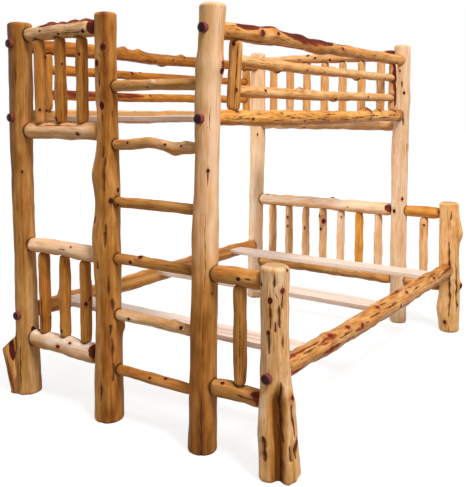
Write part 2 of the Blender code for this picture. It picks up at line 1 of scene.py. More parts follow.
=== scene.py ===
"""Looks of the log bunk bed: peeled cedar logs, sawn slats, turned knobs and the studio round them.

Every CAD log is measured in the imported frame, where its centre line and thickness are, and is rebuilt
there as a peeled log: lobes, knots, checks, flutes and drawknife facets, with rounded ends that seat in
sunken sockets. Measures are metres in the frame: +Y runs from the ladder end to the head end, +X from the
wall side to the open side, and the floor is z = 0.
"""

import json
import math
from typing import NamedTuple

import bpy
import numpy as np
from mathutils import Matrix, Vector


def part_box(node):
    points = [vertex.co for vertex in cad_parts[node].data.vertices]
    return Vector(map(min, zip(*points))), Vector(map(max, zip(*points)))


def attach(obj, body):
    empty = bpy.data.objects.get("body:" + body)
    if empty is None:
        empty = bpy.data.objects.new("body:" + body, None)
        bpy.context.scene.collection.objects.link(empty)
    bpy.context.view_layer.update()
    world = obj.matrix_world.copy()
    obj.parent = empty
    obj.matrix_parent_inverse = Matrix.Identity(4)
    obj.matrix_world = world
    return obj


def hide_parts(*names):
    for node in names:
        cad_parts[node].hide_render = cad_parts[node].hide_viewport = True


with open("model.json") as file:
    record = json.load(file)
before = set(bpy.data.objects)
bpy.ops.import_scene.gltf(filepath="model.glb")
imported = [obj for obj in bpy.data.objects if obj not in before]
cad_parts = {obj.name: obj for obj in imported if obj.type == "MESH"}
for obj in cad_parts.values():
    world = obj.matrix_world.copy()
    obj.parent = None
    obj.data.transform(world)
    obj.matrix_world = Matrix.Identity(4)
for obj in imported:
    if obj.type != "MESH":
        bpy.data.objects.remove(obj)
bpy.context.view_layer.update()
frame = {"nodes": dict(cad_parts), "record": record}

# The two directions across a log that runs along X, Y or Z. Angles round a log start at the first one
# and turn towards the second. On a log along X: 90 is up and 180 the ladder end. On a log along Y: 0 is
# up and 90 the open side. On a post or spindle: 0 is the open side and -90 the ladder end.
ACROSS = {0: [1, 2], 1: [2, 0], 2: [0, 1]}

# Measuring the CAD logs. The spindles of a comb are told apart by their tips.
STATION_STEP = 0.005
SUPPORT_ANGLES = np.arange(36) * math.pi / 18
SUPPORT = np.stack([np.cos(SUPPORT_ANGLES), np.sin(SUPPORT_ANGLES)], axis=1)
BODY_SHARE = 0.86
RAIL_EASE = 6
POST_EASE = 10
POST_TRIM = 1.36
KNOB_MARGIN = 0.032
STUB_HEIGHTS = (0.290, 0.600)
COMB_RAIL_TOP = 0.088
COMB_TIP_DEPTH = 0.012
COMB_SPINDLE_REACH = 0.05
COMB_SPINDLE_FOOT = 0.02

# Rings of the log surfaces: a ring is (place along the log, share of its radius, 1 on end grain).
RING_STEP = 0.006
POST_SIDES = 96
RAIL_SIDES = 64
POLE_SIDES = 48
POLE_LIMIT = 0.0300
POST_FOOT = ((0.0, 0.5, 1.0), (0.0, 0.89, 1.0), (0.003, 0.93, 0.0), (0.008, 0.98, 0.0))
POST_FOOT_HEIGHT = 0.013
POST_ROUND = 0.014
POST_DOME = 0.003
POST_TOP_TURNS = np.radians((20, 42, 66, 90))
POST_TOP_SHARES = (0.97, 0.85, 0.65, 0.45, 0.22)
POST_TOP_DROPS = {"post_ladder_outer": 0.010, "post_ladder_wall": 0.005, "post_ladder_short": 0.005}
NOSE_LENGTH = 0.022
NOSE_SHARE = 0.74
NOSE_SEAT = 0.008
NOSE_INSET = 0.009
NOSE_TURNS = np.radians((90, 80, 66, 50, 32, 14))
TENON_SHARE = 0.62
TENON_DEPTH = 0.018
TENON_GAP = 0.001

# Relief of the logs. Lobes are (how many round the log, weight). A skin is (depth of the lobes, knots a
# metre more on streaked wood, swell), the lobes and the swell as shares of the log's radius.
LOBES = ((2, 1.0), (3, 0.8), (5, 0.4), (7, 0.25))
LOBE_TWIST = 2.5
LOBE_SWING = 0.3
LOBE_WAVES = (4, 9)
POST_SKIN = (0.012, 2, 0.14)
RAIL_SKIN = (0.026, 5, 0.42)
FACET_SHARE = 0.045
FIBRE_DEPTH = 0.0007
SOCKET_DEPTH = 0.005
SOCKET_EDGE = 0.006
SOCKET_GAP = 0.006
SOCKET_SEARCH = 0.03
LEDGE_MARGIN = 0.020
PLAIN_KNOTS = 0.5
KNOT_MARGIN = 0.04
KNOT_CLEARANCE = 0.06
KNOT_SHARES = (0.08, 0.16)
KNOT_RISES = (0.15, 0.4)
# Reaches of a knot, in knot radii along and across the grain.
KNOT_STRETCH = 1.35
KNOT_BULGE = 1.9
KNOT_DIP = 0.7
KNOT_DIP_SHARE = 0.5
KNOT_PARTING = 4
KNOT_FADE = (3.0, 3.8)
KNOT_NONE = 9.0
BURL_ROUND = 0.8
# Reaches of a crack, in widths of the crack. Its sways and its uneven width are (turn a metre, weight).
CHECK_FAR = 6.0
CHECK_FADE = (2.2, 3.8)
CHECK_INSIDE = (1.0, 1.6)
CHECK_ALONE = (1.1, 2.0)
CHECK_NONE = 99.0
CHECK_SWAYS = ((23, 0.6), (61, 0.4))
CHECK_UNEVEN = (95, 0.25)
THINNEST = 1e-6
FLUTE_FADE = 0.72
FLUTE_POINT = 0.25
BANK_HEIGHT = 0.35
BANK_PLACE = 2.2
FLUTE_BROWNING = 56.0
STAIN_AND_LIGHT_FADE = 0.10
TONE_SPREAD = (0.06, 0.15, 0.08)
TONE_SEED = 7
WOOD_SHIFT = 20

# The root on the wall post's foot. Its shape is (share of the height, share of the radius).
SPUR_NAME = "post_ladder_wall_root"
SPUR_HEIGHT = 0.252
SPUR_RADIUS = 0.042
SPUR_BEYOND = 0.012
SPUR_LEAN = 0.034
SPUR_SLANT = 0.90
SPUR_LOBES = 0.03
SPUR_RINGS = 40
SPUR_DIRECTION = (-0.83, -0.56)
SPUR_SHAPE = ((0.0, 0.86), (0.40, 0.94), (0.80, 1.0), (0.97, 1.0), (1.0, 0.94))
SPUR_FOOT = ((0.0, 0.5, 1.0), (0.0, 0.96, 1.0))
SPUR_TOP_SHARES = (0.90, 0.65, 0.35)
SPUR_CROWN = 0.001
SPUR_DEPTHS = {"Swell depth": 0.006, "Facet depth": 0.002, "Fibre depth": 0.0008}

# Knobs: the shank is (distance from the tip, radius), the shape (share of the height, share of the radius).
KNOB_RADIUS = 0.0205
KNOB_HEIGHT = 0.028
KNOB_SIDES = 40
KNOB_SHANK = ((-0.060, 0.005), (-0.030, 0.005))
KNOB_SHAPE = (
    (0.00, 0.90), (0.10, 1.00), (0.62, 1.00), (0.74, 0.97), (0.83, 0.89), (0.90, 0.76), (0.95, 0.58),
    (0.985, 0.36), (1.0, 0.12),
)

# Slats and their screws. Screw rings are (share of the radius, level). Waves are (depth, turn a metre).
SLAT_NUMBERS = (1, 2, 3)
SLAT_EDGE = 0.0022
SLAT_STEP = 0.008
SLAT_END_EASE = 0.001
SLAT_END_SHARE = 0.985
SLAT_CORNER_TURNS = np.radians((0, 30, 60, 90))
SLAT_OUTLINE_POINTS = 60
SLAT_SHARP = math.radians(55)
SLAT_WAVES = ((0.0012, 3), (0.0015, 9), (0.0008, 31))
SLAT_PHASE = 6
SLAT_DEPTHS = {"Swell depth": 0.0012, "Facet depth": 0.0, "Fibre depth": 0.0006}
SCREW_RADIUS = 0.0045
SCREW_SIDES = 48
SCREW_SINK = -0.0012
SCREW_CROWN = 0.0003
SCREW_FACE_SHARES = (0.92, 0.75, 0.58, 0.42, 0.26, 0.12)
SCREW_RINGS = ((1.0, SCREW_SINK), (1.0, 0.0), *((share, SCREW_CROWN) for share in SCREW_FACE_SHARES))
RECESS_ARM = 0.16
RECESS_REACH = 0.66
RECESS_DEPTH = 0.0011
SCREW_INSET = 0.014
SCREW_MARGIN = 0.030
SCREW_SEED = 11

# Camera and lamps: a lamp is (name, place, aim, width, power, spread of its beam in degrees).
CAMERA_PLACE = (1.996473, -3.242798, 1.3735)
CAMERA_TURN = (85.206, 0.0, 34.182)
CAMERA_LENS = 51.16
CAMERA_SENSOR = 36.0
CAMERA_SHIFT = -0.151
LAMPS = (
    ("key_lamp", (6.0, -3.0, 8.6), (0.0, 0.0, 0.8), 3.0, 960.0, 180.0),
    ("top_lamp", (-0.3, -0.8, 5.4), (0.0, 0.0, 0.8), 3.0, 44.0, 180.0),
    ("head_lamp", (-4.6, -2.4, 1.6), (-0.1, 1.1, 0.75), 1.4, 11.5, 44.0),
    ("fill_lamp", (-3.4, -3.0, 2.4), (0.0, 0.0, 0.8), 3.0, 6.0, 180.0),
)
SURROUND_LEVEL = 0.34
SURROUND_TINT = (1.0, 0.95, 0.88)
WHITE = (1.0, 1.0, 1.0)
FLOOR_HALF = 40.0
FLOOR_GLOW = (0.80, 0.96)
FLOOR_FADE = (1.6, 7.0)
FLOOR_GREY = 0.30
FLOOR_CLOUD = 0.03
FLOOR_ROUGHNESS = 0.9
FLOOR_GLOSS = 0.1

# Colours of the peeled cedar. Ramps are (place, colour), from dark to pale and from edge to core.
SAPWOOD = (
    (0.016, (0.16, 0.048, 0.009)), (0.192, (0.34, 0.135, 0.024)), (0.368, (0.53, 0.248, 0.064)),
    (0.544, (0.71, 0.390, 0.160)), (0.76, (0.87, 0.600, 0.375)), (1.0, (0.93, 0.800, 0.670)),
)
HEARTWOOD = ((0.45, (0.42, 0.115, 0.035)), (0.62, (0.24, 0.040, 0.014)), (1.0, (0.085, 0.016, 0.009)))
GOLD_TINT = (1.02, 0.79, 0.30)
PINK_TINT = (1.03, 0.95, 0.95)
BLOTCH_TINT = (0.84, 0.62, 0.42)
LINE_TINT = (0.66, 0.52, 0.40)
DASH_BROWN = (0.17, 0.045, 0.014)
KNOT_HALO = (0.34, 0.115, 0.036)
KNOT_STAIN = (0.44, 0.105, 0.045)
KNOT_BROWN = (0.052, 0.013, 0.008)
KNOT_RED = (0.27, 0.040, 0.020)
KNOT_DARK = (0.022, 0.006, 0.004)
CHECK_EDGE = (0.26, 0.095, 0.032)
CHECK_DARK = (0.115, 0.034, 0.012)
# Colour of the painted shade in the gap round a tenon where it enters its socket.
SOCKET_SHADOW = (0.055, 0.016, 0.008)
END_PALE = (0.66, 0.44, 0.22)
END_DARK = (0.42, 0.22, 0.09)
SAWN_PALE = (0.68, 0.37, 0.14)
SAWN_DARK = (0.54, 0.26, 0.09)
WOOD_GLOSS = 0.09
WOOD_RELIEF = (0.55, 0.0022)
YEAR_RINGS = 1900.0
KNOT_RINGS = 15.0
# Where marks on the cedar fade: (where a mark begins, where it is full, its share there).
HEART_FADE = (0.45, 0.56)
HALO_FADE = (2.4, 0.9, 0.6)
TAIL_ACROSS = (0.42, 0.10)
TAIL_ALONG = (3.4, 1.2)
TAIL_BREAKS = (0.40, 0.62, 0.85)
CORE_FADE = (1.10, 0.92)
CORE_RINGS = (-0.6, 1.0, 0.3)
CORE_MIDDLE = (0.60, 0.10, 0.7)
CRACK_EDGE_FADE = (3.0, 0.9, 0.62)
CRACK_FADE = (1.30, 0.45)
YEAR_FADE = (-0.8, 1.0)
# How far noises swing the cedar's tone and fray the edges of its marks, and what weight its marks have.
PLAIN_SWING = 0.45
STREAKED_SWING = 0.45
BROAD_SWING = 0.55
PATCH_SWING = 0.9
STAIN_AND_LIGHT_WEIGHT = 0.42
TONE_WEIGHT = 0.8
BLOTCH_SHARE = 0.75
HEART_FRAYS = (0.9, 0.6, 0.35)
KNOT_FRAY = 0.6
HALO_LEAST = 0.25
CRACK_FRAYS = (1.5, 1.2)
SOCKET_SHADE = 0.8
SAWN_SHARE = 0.5
YEAR_WAVER = 3.0
POLISH_SWING = 0.22
DULLNESS = 0.40
FIBRE_HEIGHT = 0.45
GRAIN_HEIGHT = 0.6
CRACK_HEIGHT = 1.2
RING_HEIGHT = 0.25
# Each kind of log: how rough its varnish is, and how much its fibres differ in shade.
CEDAR_LOOKS = {
    "peeled_cedar_post": (0.46, 0.30),
    "peeled_cedar_rail": (0.40, 0.34),
    "peeled_cedar_spindle": (0.42, 0.34),
    "peeled_cedar_rung": (0.44, 0.34),
}

# Noises: (turns a metre along each direction, detail, roughness). Those of the cedar run along the grain.
FIBRE = ((420, 420, 9), 3.0, 0.6)
GRAIN = ((75, 75, 1.7), 4.0, 0.58)
BROAD = ((12, 12, 2.0), 2.0)
MOTTLE = ((150, 150, 55), 2.0)
PATCHES = ((42, 42, 11), 2.0)
CRACK_EDGES = ((330, 330, 70), 2.0)
SKIN_SWELLS = ((15, 15, 9), 1.0)
SKIN_FIBRES = ((210, 210, 7), 2.0)
SKIN_FACETS = (36, 36, 5)
FACET_SMOOTHNESS = 0.35
BOARD_GRAIN = ((2.2, 110, 110), 4.0, 0.6)
BOARD_FIBRE = ((14, 700, 700), 2.0)
KNOB_STREAKS = ((300, 40, 300), 3.0, 0.6)
KNOB_CLOUDS = ((60, 60, 60), 2.0)
TARNISH = ((400, 400, 400), 3.0)
FLOOR_CLOUDS = ((3, 3, 3), 3.0)

# Speckles: (turns a metre, detail, the noise where they begin, the noise where they are full, their share).
BLUSH = ((9, 9, 1.4), 1.0, 0.45, 0.70)
BLOTCHES = ((58, 58, 15), 3.0, 0.50, 0.66)
LINES = ((250, 250, 4.5), 2.0, 0.57, 0.70, 0.68)
DASHES = ((175, 175, 15), 1.0, 0.59, 0.68)
CLUSTERS = ((14, 14, 5), 1.0, 0.36, 0.56)
BOARD_HEARTS = ((1.6, 22, 22), 2.0, 0.54, 0.74, 0.55)
BOARD_FLECKS = ((20, 190, 190), 2.0, 0.60, 0.72, 0.55)

# Colours and finish of slats, knobs and screws. A relief is (strength, depth), a roughness (level, swing).
BOARD = ((0.28, (0.70, 0.48, 0.38)), (0.46, (0.87, 0.71, 0.60)), (0.70, (0.92, 0.82, 0.74)))
BOARD_HEART = (0.56, 0.27, 0.18)
# Tint of the slats' side faces: partly sawn-edge colour, partly painted shade.
BOARD_EDGE_TONE_AND_SHADE = (0.99, 0.91, 0.84)
BOARD_FLECK = (0.42, 0.20, 0.12)
BOARD_BROWN = (0.50, 0.30, 0.18)
BOARD_EDGE_TONE_AND_SHADE_FADE = (0.75, 0.35, 0.8)
BOARD_BROWNING = 0.14
BOARD_ROUGHNESS = (0.66, 0.2)
BOARD_RELIEF = (0.35, 0.0010)
BOARD_FIBRE_HEIGHT = 0.5
SAW_LINES = 900.0
SAW_LINE_HEIGHT = 0.15
KNOB_SIDE = ((0.30, (0.10, 0.022, 0.020)), (0.52, (0.24, 0.055, 0.046)), (0.74, (0.38, 0.110, 0.085)))
KNOB_FACE = ((0.35, (0.016, 0.005, 0.005)), (0.55, (0.040, 0.010, 0.010)), (0.75, (0.090, 0.022, 0.018)))
KNOB_FACE_FADE = (0.45, 0.80)
KNOB_ROUGHNESS = (0.34, 0.25)
KNOB_GLOSS = 0.1
KNOB_RELIEF = (0.3, 0.0008)
STEEL_DARK = (0.40, 0.38, 0.33)
STEEL_PALE = (0.62, 0.60, 0.55)
STEEL_ROUGHNESS = (0.38, 0.3)


class Knot(NamedTuple):
    """A branch knot: place along the log, angle round it, radius, how far it bulges, and how red it is."""

    along: float
    angle: float
    size: float
    rise: float = 0.003
    red: float = 0.15


class Check(NamedTuple):
    """A drying crack along the grain: its two ends, angle, width, depth, and how far its angle sways."""

    start: float
    end: float
    angle: float
    width: float = 0.0030
    depth: float = 0.005
    sway: float = 2.5


class Flute(NamedTuple):
    """A groove that runs up from a post's foot and fades out: its angle turns by so much a metre."""

    top: float
    angle: float
    width: float
    depth: float
    turn: float = 0.0


class Patch(NamedTuple):
    """A patch of bared heartwood or of stained sapwood, also used for painted shade and painted light: its
    two ends, angle, and spread in degrees.
    """

    start: float
    end: float
    angle: float
    spread: float
    strength: float = 1.0


class Burl(NamedTuple):
    """A smooth swelling: place along the log, angle round it, how wide it is and how far it stands out."""

    along: float
    angle: float
    reach: float
    rise: float


# What the photo shows on each log, as rows of Knot, Check, Flute, Patch (hearts, stains, painted
# shade and painted light) and Burl.
KNOTS = {
    "post_ladder_wall": [(1.09, -40, 0.006), (0.324, -12, 0.011)],
    "post_ladder_inner": [
        (1.647, -60, 0.012), (1.581, -99, 0.011, 0.004), (1.399, -78, 0.013, -0.006),
        (1.036, 6, 0.008, 0.004), (0.991, -32, 0.01, 0.002), (0.848, -52, 0.008, -0.002),
        (0.428, 34, 0.009, 0.007),
    ],
    "post_ladder_outer": [
        (1.557, 8, 0.009, 0.004, 0.9), (1.53, 3, 0.01, 0.005, 0.2), (1.147, -49, 0.007, 0.001),
    ],
    "post_ladder_short": [
        (0.797, -9, 0.005), (0.741, -121, 0.007), (0.722, -30, 0.009, 0.003, 0.8),
        (0.685, -78, 0.01, 0.003, 0.2), (0.565, -83, 0.0075, 0.003, 0.3), (0.322, -6, 0.008, 0.005, 0.9),
        (0.16, 0, 0.008, 0.006, 0.9), (0.138, 3, 0.01, 0.004, 0.7),
    ],
    "post_head_wall": [(1.21, -60, 0.006)],
    "post_head_outer": [
        (1.632, -87, 0.006), (1.493, -55, 0.008), (0.816, -50, 0.008, 0.003, 0.5), (0.735, -106, 0.01),
    ],
    "post_head_short": [
        (0.296, -8, 0.012, 0.012, 0.5), (0.177, -25, 0.008, 0.004), (0.067, -93, 0.01, 0.003, 0.6),
    ],
    "ladder_upper_top_rail": [
        (-0.525, 172, 0.005), (-0.47, 112, 0.012, 0.005, 0.9), (-0.408, -152, 0.006),
        (-0.405, 112, 0.009, 0.005, 0.9), (-0.337, 112, 0.012, 0.005, 0.9), (-0.262, 118, 0.01, 0.005, 0.9),
        (-0.246, -160, 0.008),
    ],
    "ladder_upper_foot_rail": [(-0.287, -165, 0.008, 0.003, 0.8)],
    "ladder_upper_spindle_1": [(1.627, 22, 0.007), (1.383, -49, 0.006), (1.378, 19, 0.006)],
    "ladder_upper_spindle_2": [(1.589, -26, 0.005), (1.342, -108, 0.009)],
    "ladder_upper_spindle_3": [(1.627, -67, 0.006)],
    "ladder_lower_foot_rail": [
        (-0.607, 98, 0.008), (-0.44, 176, 0.009, 0.003, 0.6), (-0.367, 138, 0.006, 0.003, 0.5),
    ],
    "ladder_lower_spindle_1": [(0.397, 11, 0.005)],
    "ladder_lower_spindle_2": [(0.358, -85, 0.006), (0.52, -150, 0.009, 0.004)],
    "ladder_lower_spindle_3": [(0.509, -45, 0.0075), (0.535, 0, 0.006)],
    "ladder_side_top_rail": [(0.566, 175, 0.007)],
    "ladder_side_foot_rail": [(0.482, 127, 0.006), (0.634, 142, 0.012, 0.002, 0.6)],
    "ladder_rung_1": [(0.105, 155, 0.005, 0.002), (0.184, 119, 0.006, 0.004)],
    "ladder_rung_2": [(0.278, 154, 0.007, 0.005), (-0.011, -175, 0.006)],
    "ladder_rung_3": [(0.005, -179, 0.007), (0.052, 119, 0.008, 0.004)],
    "ladder_rung_4": [(-0.067, -156, 0.006)],
    "ladder_rung_5": [(-0.005, 164, 0.005, 0.005), (0.205, 158, 0.004, 0.006), (0.285, 160, 0.004, 0.006)],
    "ladder_rung_6": [(0.105, -157, 0.004)],
    "guard_top_rail_open": [
        (-0.743, 84, 0.014, 0.004, 0.5), (-0.62, 78, 0.008, 0.003, 0.6), (0.084, 78, 0.01, 0.004, 0.8),
        (0.52, 95, 0.006),
    ],
    "guard_top_rail_wall": [
        (-0.184, 113, 0.004, 0.001), (-0.16, 118, 0.004, 0.001), (-0.122, 112, 0.005, 0.001),
        (0.044, 87, 0.006, 0.002), (0.158, 52, 0.005, 0.008),
    ],
    "guard_upright_open_ladder": [(1.646, -71, 0.007), (1.462, -34, 0.006)],
    "guard_bar_open_lower": [
        (-0.678, 76, 0.007), (-0.33, 20, 0.009, 0.006), (0.034, 125, 0.007), (0.45, 85, 0.007, 0.004),
    ],
    "guard_bar_open_upper": [
        (-0.55, 160, 0.009, 0.006), (-0.299, 104, 0.005, 0.002), (-0.11, 105, 0.005, 0.002),
        (0.33, 150, 0.01, 0.007),
    ],
    "guard_bar_wall_upper": [(-0.31, 62, 0.009), (-0.233, 40, 0.006)],
    "guard_bar_wall_lower": [(-0.154, 59, 0.006)],
    "upper_side_rail_open": [
        (-0.781, 98, 0.007, 0.002), (-0.532, 50, 0.006), (-0.32, 111, 0.006, 0.002),
        (0.47, 28, 0.019, 0.014, 0.8), (0.468, 111, 0.006), (0.64, 28, 0.011, 0.007, 0.9),
    ],
    "lower_side_rail_open": [
        (-0.956, 20, 0.009, 0.003, 1.0), (-0.678, 99, 0.013, 0.004, 1.0), (-0.652, 32, 0.013, 0.005, 1.0),
        (-0.488, 34, 0.011, 0.005, 0.9), (-0.368, 70, 0.013, 0.004, 1.0), (-0.145, 27, 0.01, 0.004, 0.8),
        (0.097, 94, 0.009, 0.003, 0.7), (0.171, -4, 0.01, 0.004, 0.7), (0.222, 41, 0.01, 0.004, 0.8),
        (0.516, 4, 0.009, 0.005, 0.8), (0.657, 54, 0.011, 0.004, 0.8),
    ],
    "head_upper_top_rail": [(-0.284, 136, 0.009), (-0.226, 172, 0.007), (-0.112, -156, 0.007)],
    "head_lower_top_rail": [(-0.09, 104, 0.008), (-0.604, 119, 0.005)],
    "head_lower_spindle_2": [(0.625, -80, 0.007, 0.004, 0.9), (0.56, -80, 0.006, 0.003, 0.9)],
    "head_lower_spindle_3": [(0.56, -78, 0.006, 0.003, 0.7)],
    "head_lower_spindle_4": [
        (0.655, -118, 0.008, 0.004), (0.62, -56, 0.014, 0.006, 0.6), (0.565, -95, 0.009, 0.004),
    ],
    "head_lower_spindle_5": [(0.66, -60, 0.005)],
    "head_side_spindle": [(0.659, -72, 0.006)],
}
CHECKS = {
    "post_ladder_wall_root": [(0.02, 0.22, -104, 0.003, 0.004, 8), (0.05, 0.2, -84, 0.0024, 0.004, 8)],
    "post_ladder_wall": [(1.49, 1.6, -67), (0.02, 0.26, -70, 0.003, 0.004)],
    "post_ladder_inner": [
        (1.7, 1.76, -59, 0.0022, 0.002), (1.555, 1.64, -56, 0.0034), (1.475, 1.545, -86, 0.0038),
        (1.31, 1.375, -77), (1.345, 1.38, -14, 0.0027), (1.175, 1.23, -70, 0.0074),
        (1.03, 1.18, -57, 0.0068), (0.885, 0.925, -113, 0.0054), (0.785, 0.895, -52, 0.0057),
        (0.69, 0.735, -95, 0.0049), (0.575, 0.665, -48, 0.0062), (0.5, 0.565, -28, 0.0081),
        (0.395, 0.45, -41, 0.007), (0.28, 0.39, -31, 0.0057, 0.005, 5), (0.19, 0.28, -30, 0.0061, 0.005, 5),
        (0.1, 0.19, -78, 0.0062),
    ],
    "post_ladder_outer": [
        (1.3, 1.39, -42, 0.0014, 0.002), (1.085, 1.15, -48, 0.0024, 0.003),
        (0.66, 0.98, -53, 0.0013, 0.002), (0.33, 0.62, -58, 0.0014, 0.002), (-0.22, 0.26, -61, 0.0045),
    ],
    "post_ladder_short": [
        (0.735, 0.785, -62, 0.0044, 0.004, 1.5), (0.655, 0.71, -30, 0.0046, 0.004, 1.5),
        (0.575, 0.672, -78, 0.0052, 0.004, 1.5), (0.585, 0.668, -43, 0.0068, 0.004, 1.5),
        (0.568, 0.612, -59, 0.005, 0.004, 1.5), (0.505, 0.56, -26, 0.0036, 0.004, 1.5),
        (0.485, 0.562, -83, 0.0056, 0.004, 1.5), (0.17, 0.3, -10, 0.0044, 0.004, 4),
        (0.15, 0.385, -41, 0.0064, 0.006, 3), (0.105, 0.275, -62, 0.004, 0.003, 3),
        (-0.05, 0.125, -53, 0.007, 0.006, 3), (0.082, 0.18, -102, 0.009, 0.012, 2),
        (0.09, 0.165, -7, 0.0085, 0.01, 2), (0.085, 0.145, -24, 0.007, 0.008, 2),
    ],
    "post_head_outer": [(1.52, 1.57, -71, 0.004), (1.28, 1.345, -56, 0.0046), (1.12, 1.175, -17, 0.004)],
    "post_head_short": [
        (0.7, 0.77, -62, 0.004), (0.1, 0.58, -72, 0.0066, 0.01), (0.13, 0.44, -31, 0.0052, 0.008),
    ],
    "ladder_upper_top_rail": [(-0.4, -0.26, -153, 0.0022, 0.003)],
    "ladder_upper_foot_rail": [(-0.64, -0.25, 139, 0.002, 0.003)],
    "ladder_lower_top_rail": [(-0.43, -0.385, 173)],
    "ladder_lower_spindle_1": [(0.33, 0.5, -84, 0.006, 0.007)],
    "ladder_side_top_rail": [(0.59, 0.62, 172, 0.0026)],
    "ladder_side_foot_rail": [(0.555, 0.63, 175, 0.0032)],
    "ladder_side_spindle": [(0.36, 0.62, -60, 0.0018, 0.002), (0.28, 0.4, -20, 0.0022, 0.002)],
    "guard_top_rail_open": [(-1.0, -0.7, 148, 0.0032, 0.004), (-0.74, -0.3, 166, 0.0032, 0.004)],
    "guard_upright_open_ladder": [(1.49, 1.65, -36, 0.0022, 0.003), (1.4, 1.55, -42, 0.002, 0.003)],
    "upper_side_rail_open": [
        (-0.95, -0.78, 98, 0.0022, 0.003), (-0.48, -0.36, 87, 0.0032), (-0.2, -0.09, 98),
        (-0.1, 0.02, 62, 0.0028), (0.08, 0.2, 112, 0.0028), (0.2, 0.38, 94, 0.0032),
        (0.45, 0.6, 82, 0.0032), (0.6, 0.76, 104, 0.0032), (0.74, 0.92, 80, 0.0034),
    ],
    "lower_side_rail_open": [
        (-0.9, -0.79, 44, 0.0034), (-0.86, -0.73, 24, 0.0034), (-0.6, -0.47, 64, 0.0038),
        (-0.55, -0.44, 108, 0.0032), (-0.26, -0.16, 56, 0.0034), (-0.07, 0.07, 62, 0.0044),
        (-0.1, -0.02, 22, 0.0034), (0.3, 0.43, 50, 0.0034), (0.58, 0.73, 30, 0.0036),
        (0.78, 0.96, 60, 0.0044),
    ],
}
FLUTES = {
    "post_ladder_wall": [(0.3, -45, 0.012, 0.004), (0.2, -88, 0.012, 0.004), (0.26, 60, 0.014, 0.006)],
    "post_ladder_inner": [(0.2, -80, 0.012, 0.003), (0.28, 100, 0.014, 0.006)],
    "post_ladder_short": [
        (0.4, -68, 0.026, 0.034, 45), (0.16, -101, 0.008, 0.004), (0.2, -20, 0.009, 0.005),
        (0.3, 60, 0.015, 0.014), (0.26, 140, 0.015, 0.014), (0.22, -148, 0.013, 0.012),
    ],
}
# Bared heartwood; the wide patches at rail ends beside a post are partly heartwood, partly painted shadow.
HEARTS_AND_END_SHADOWS = {
    "post_ladder_wall": [(0.17, 0.31, -114, 14, 1.8)],
    "post_ladder_wall_root": [(0.16, 0.28, -40, 18, 1.9), (-0.04, 0.17, -78, 11, 0.66)],
    "ladder_upper_top_rail": [
        (-0.56, -0.42, 128, 18), (-0.52, -0.13, 112, 24, 1.05), (-0.225, -0.14, 165, 90, 0.95),
    ],
    "ladder_lower_top_rail": [(-0.215, -0.15, 160, 70, 0.8)],
    "ladder_lower_foot_rail": [(-0.245, -0.13, 140, 90, 0.95)],
    "ladder_side_foot_rail": [(0.625, 0.7, 150, 70, 0.9)],
    "guard_top_rail_open": [
        (-0.93, -0.75, 46, 36, 1.05), (-0.8, -0.46, 26, 26), (-0.58, -0.02, 48, 60, 1.05),
        (-0.1, 0.16, 24, 20, 0.95),
    ],
    "guard_upright_open_head": [(1.5, 1.69, -54, 34, 0.9), (1.4, 1.55, -40, 30, 0.8)],
    "guard_bar_wall_lower": [(-1.05, -0.2, 62, 80, 0.72)],
    "lower_side_rail_open": [
        (-1.08, -0.84, 22, 18, 0.62), (-1.06, -0.88, 112, 20, 0.62), (-0.78, -0.6, 42, 26, 0.62),
        (-0.78, -0.58, 100, 28, 0.62), (-0.45, -0.28, 74, 24, 0.6), (0.08, 0.26, 0, 24, 0.6),
        (0.43, 0.59, 4, 26, 0.6), (0.86, 1.04, 50, 44, 0.6),
    ],
    "head_upper_top_rail": [(0.27, 0.42, 140, 60, 0.8)],
    "head_lower_top_rail": [(0.295, 0.42, 160, 80, 0.9)],
    "head_side_top_rail": [(0.64, 0.74, 165, 60, 0.7)],
}
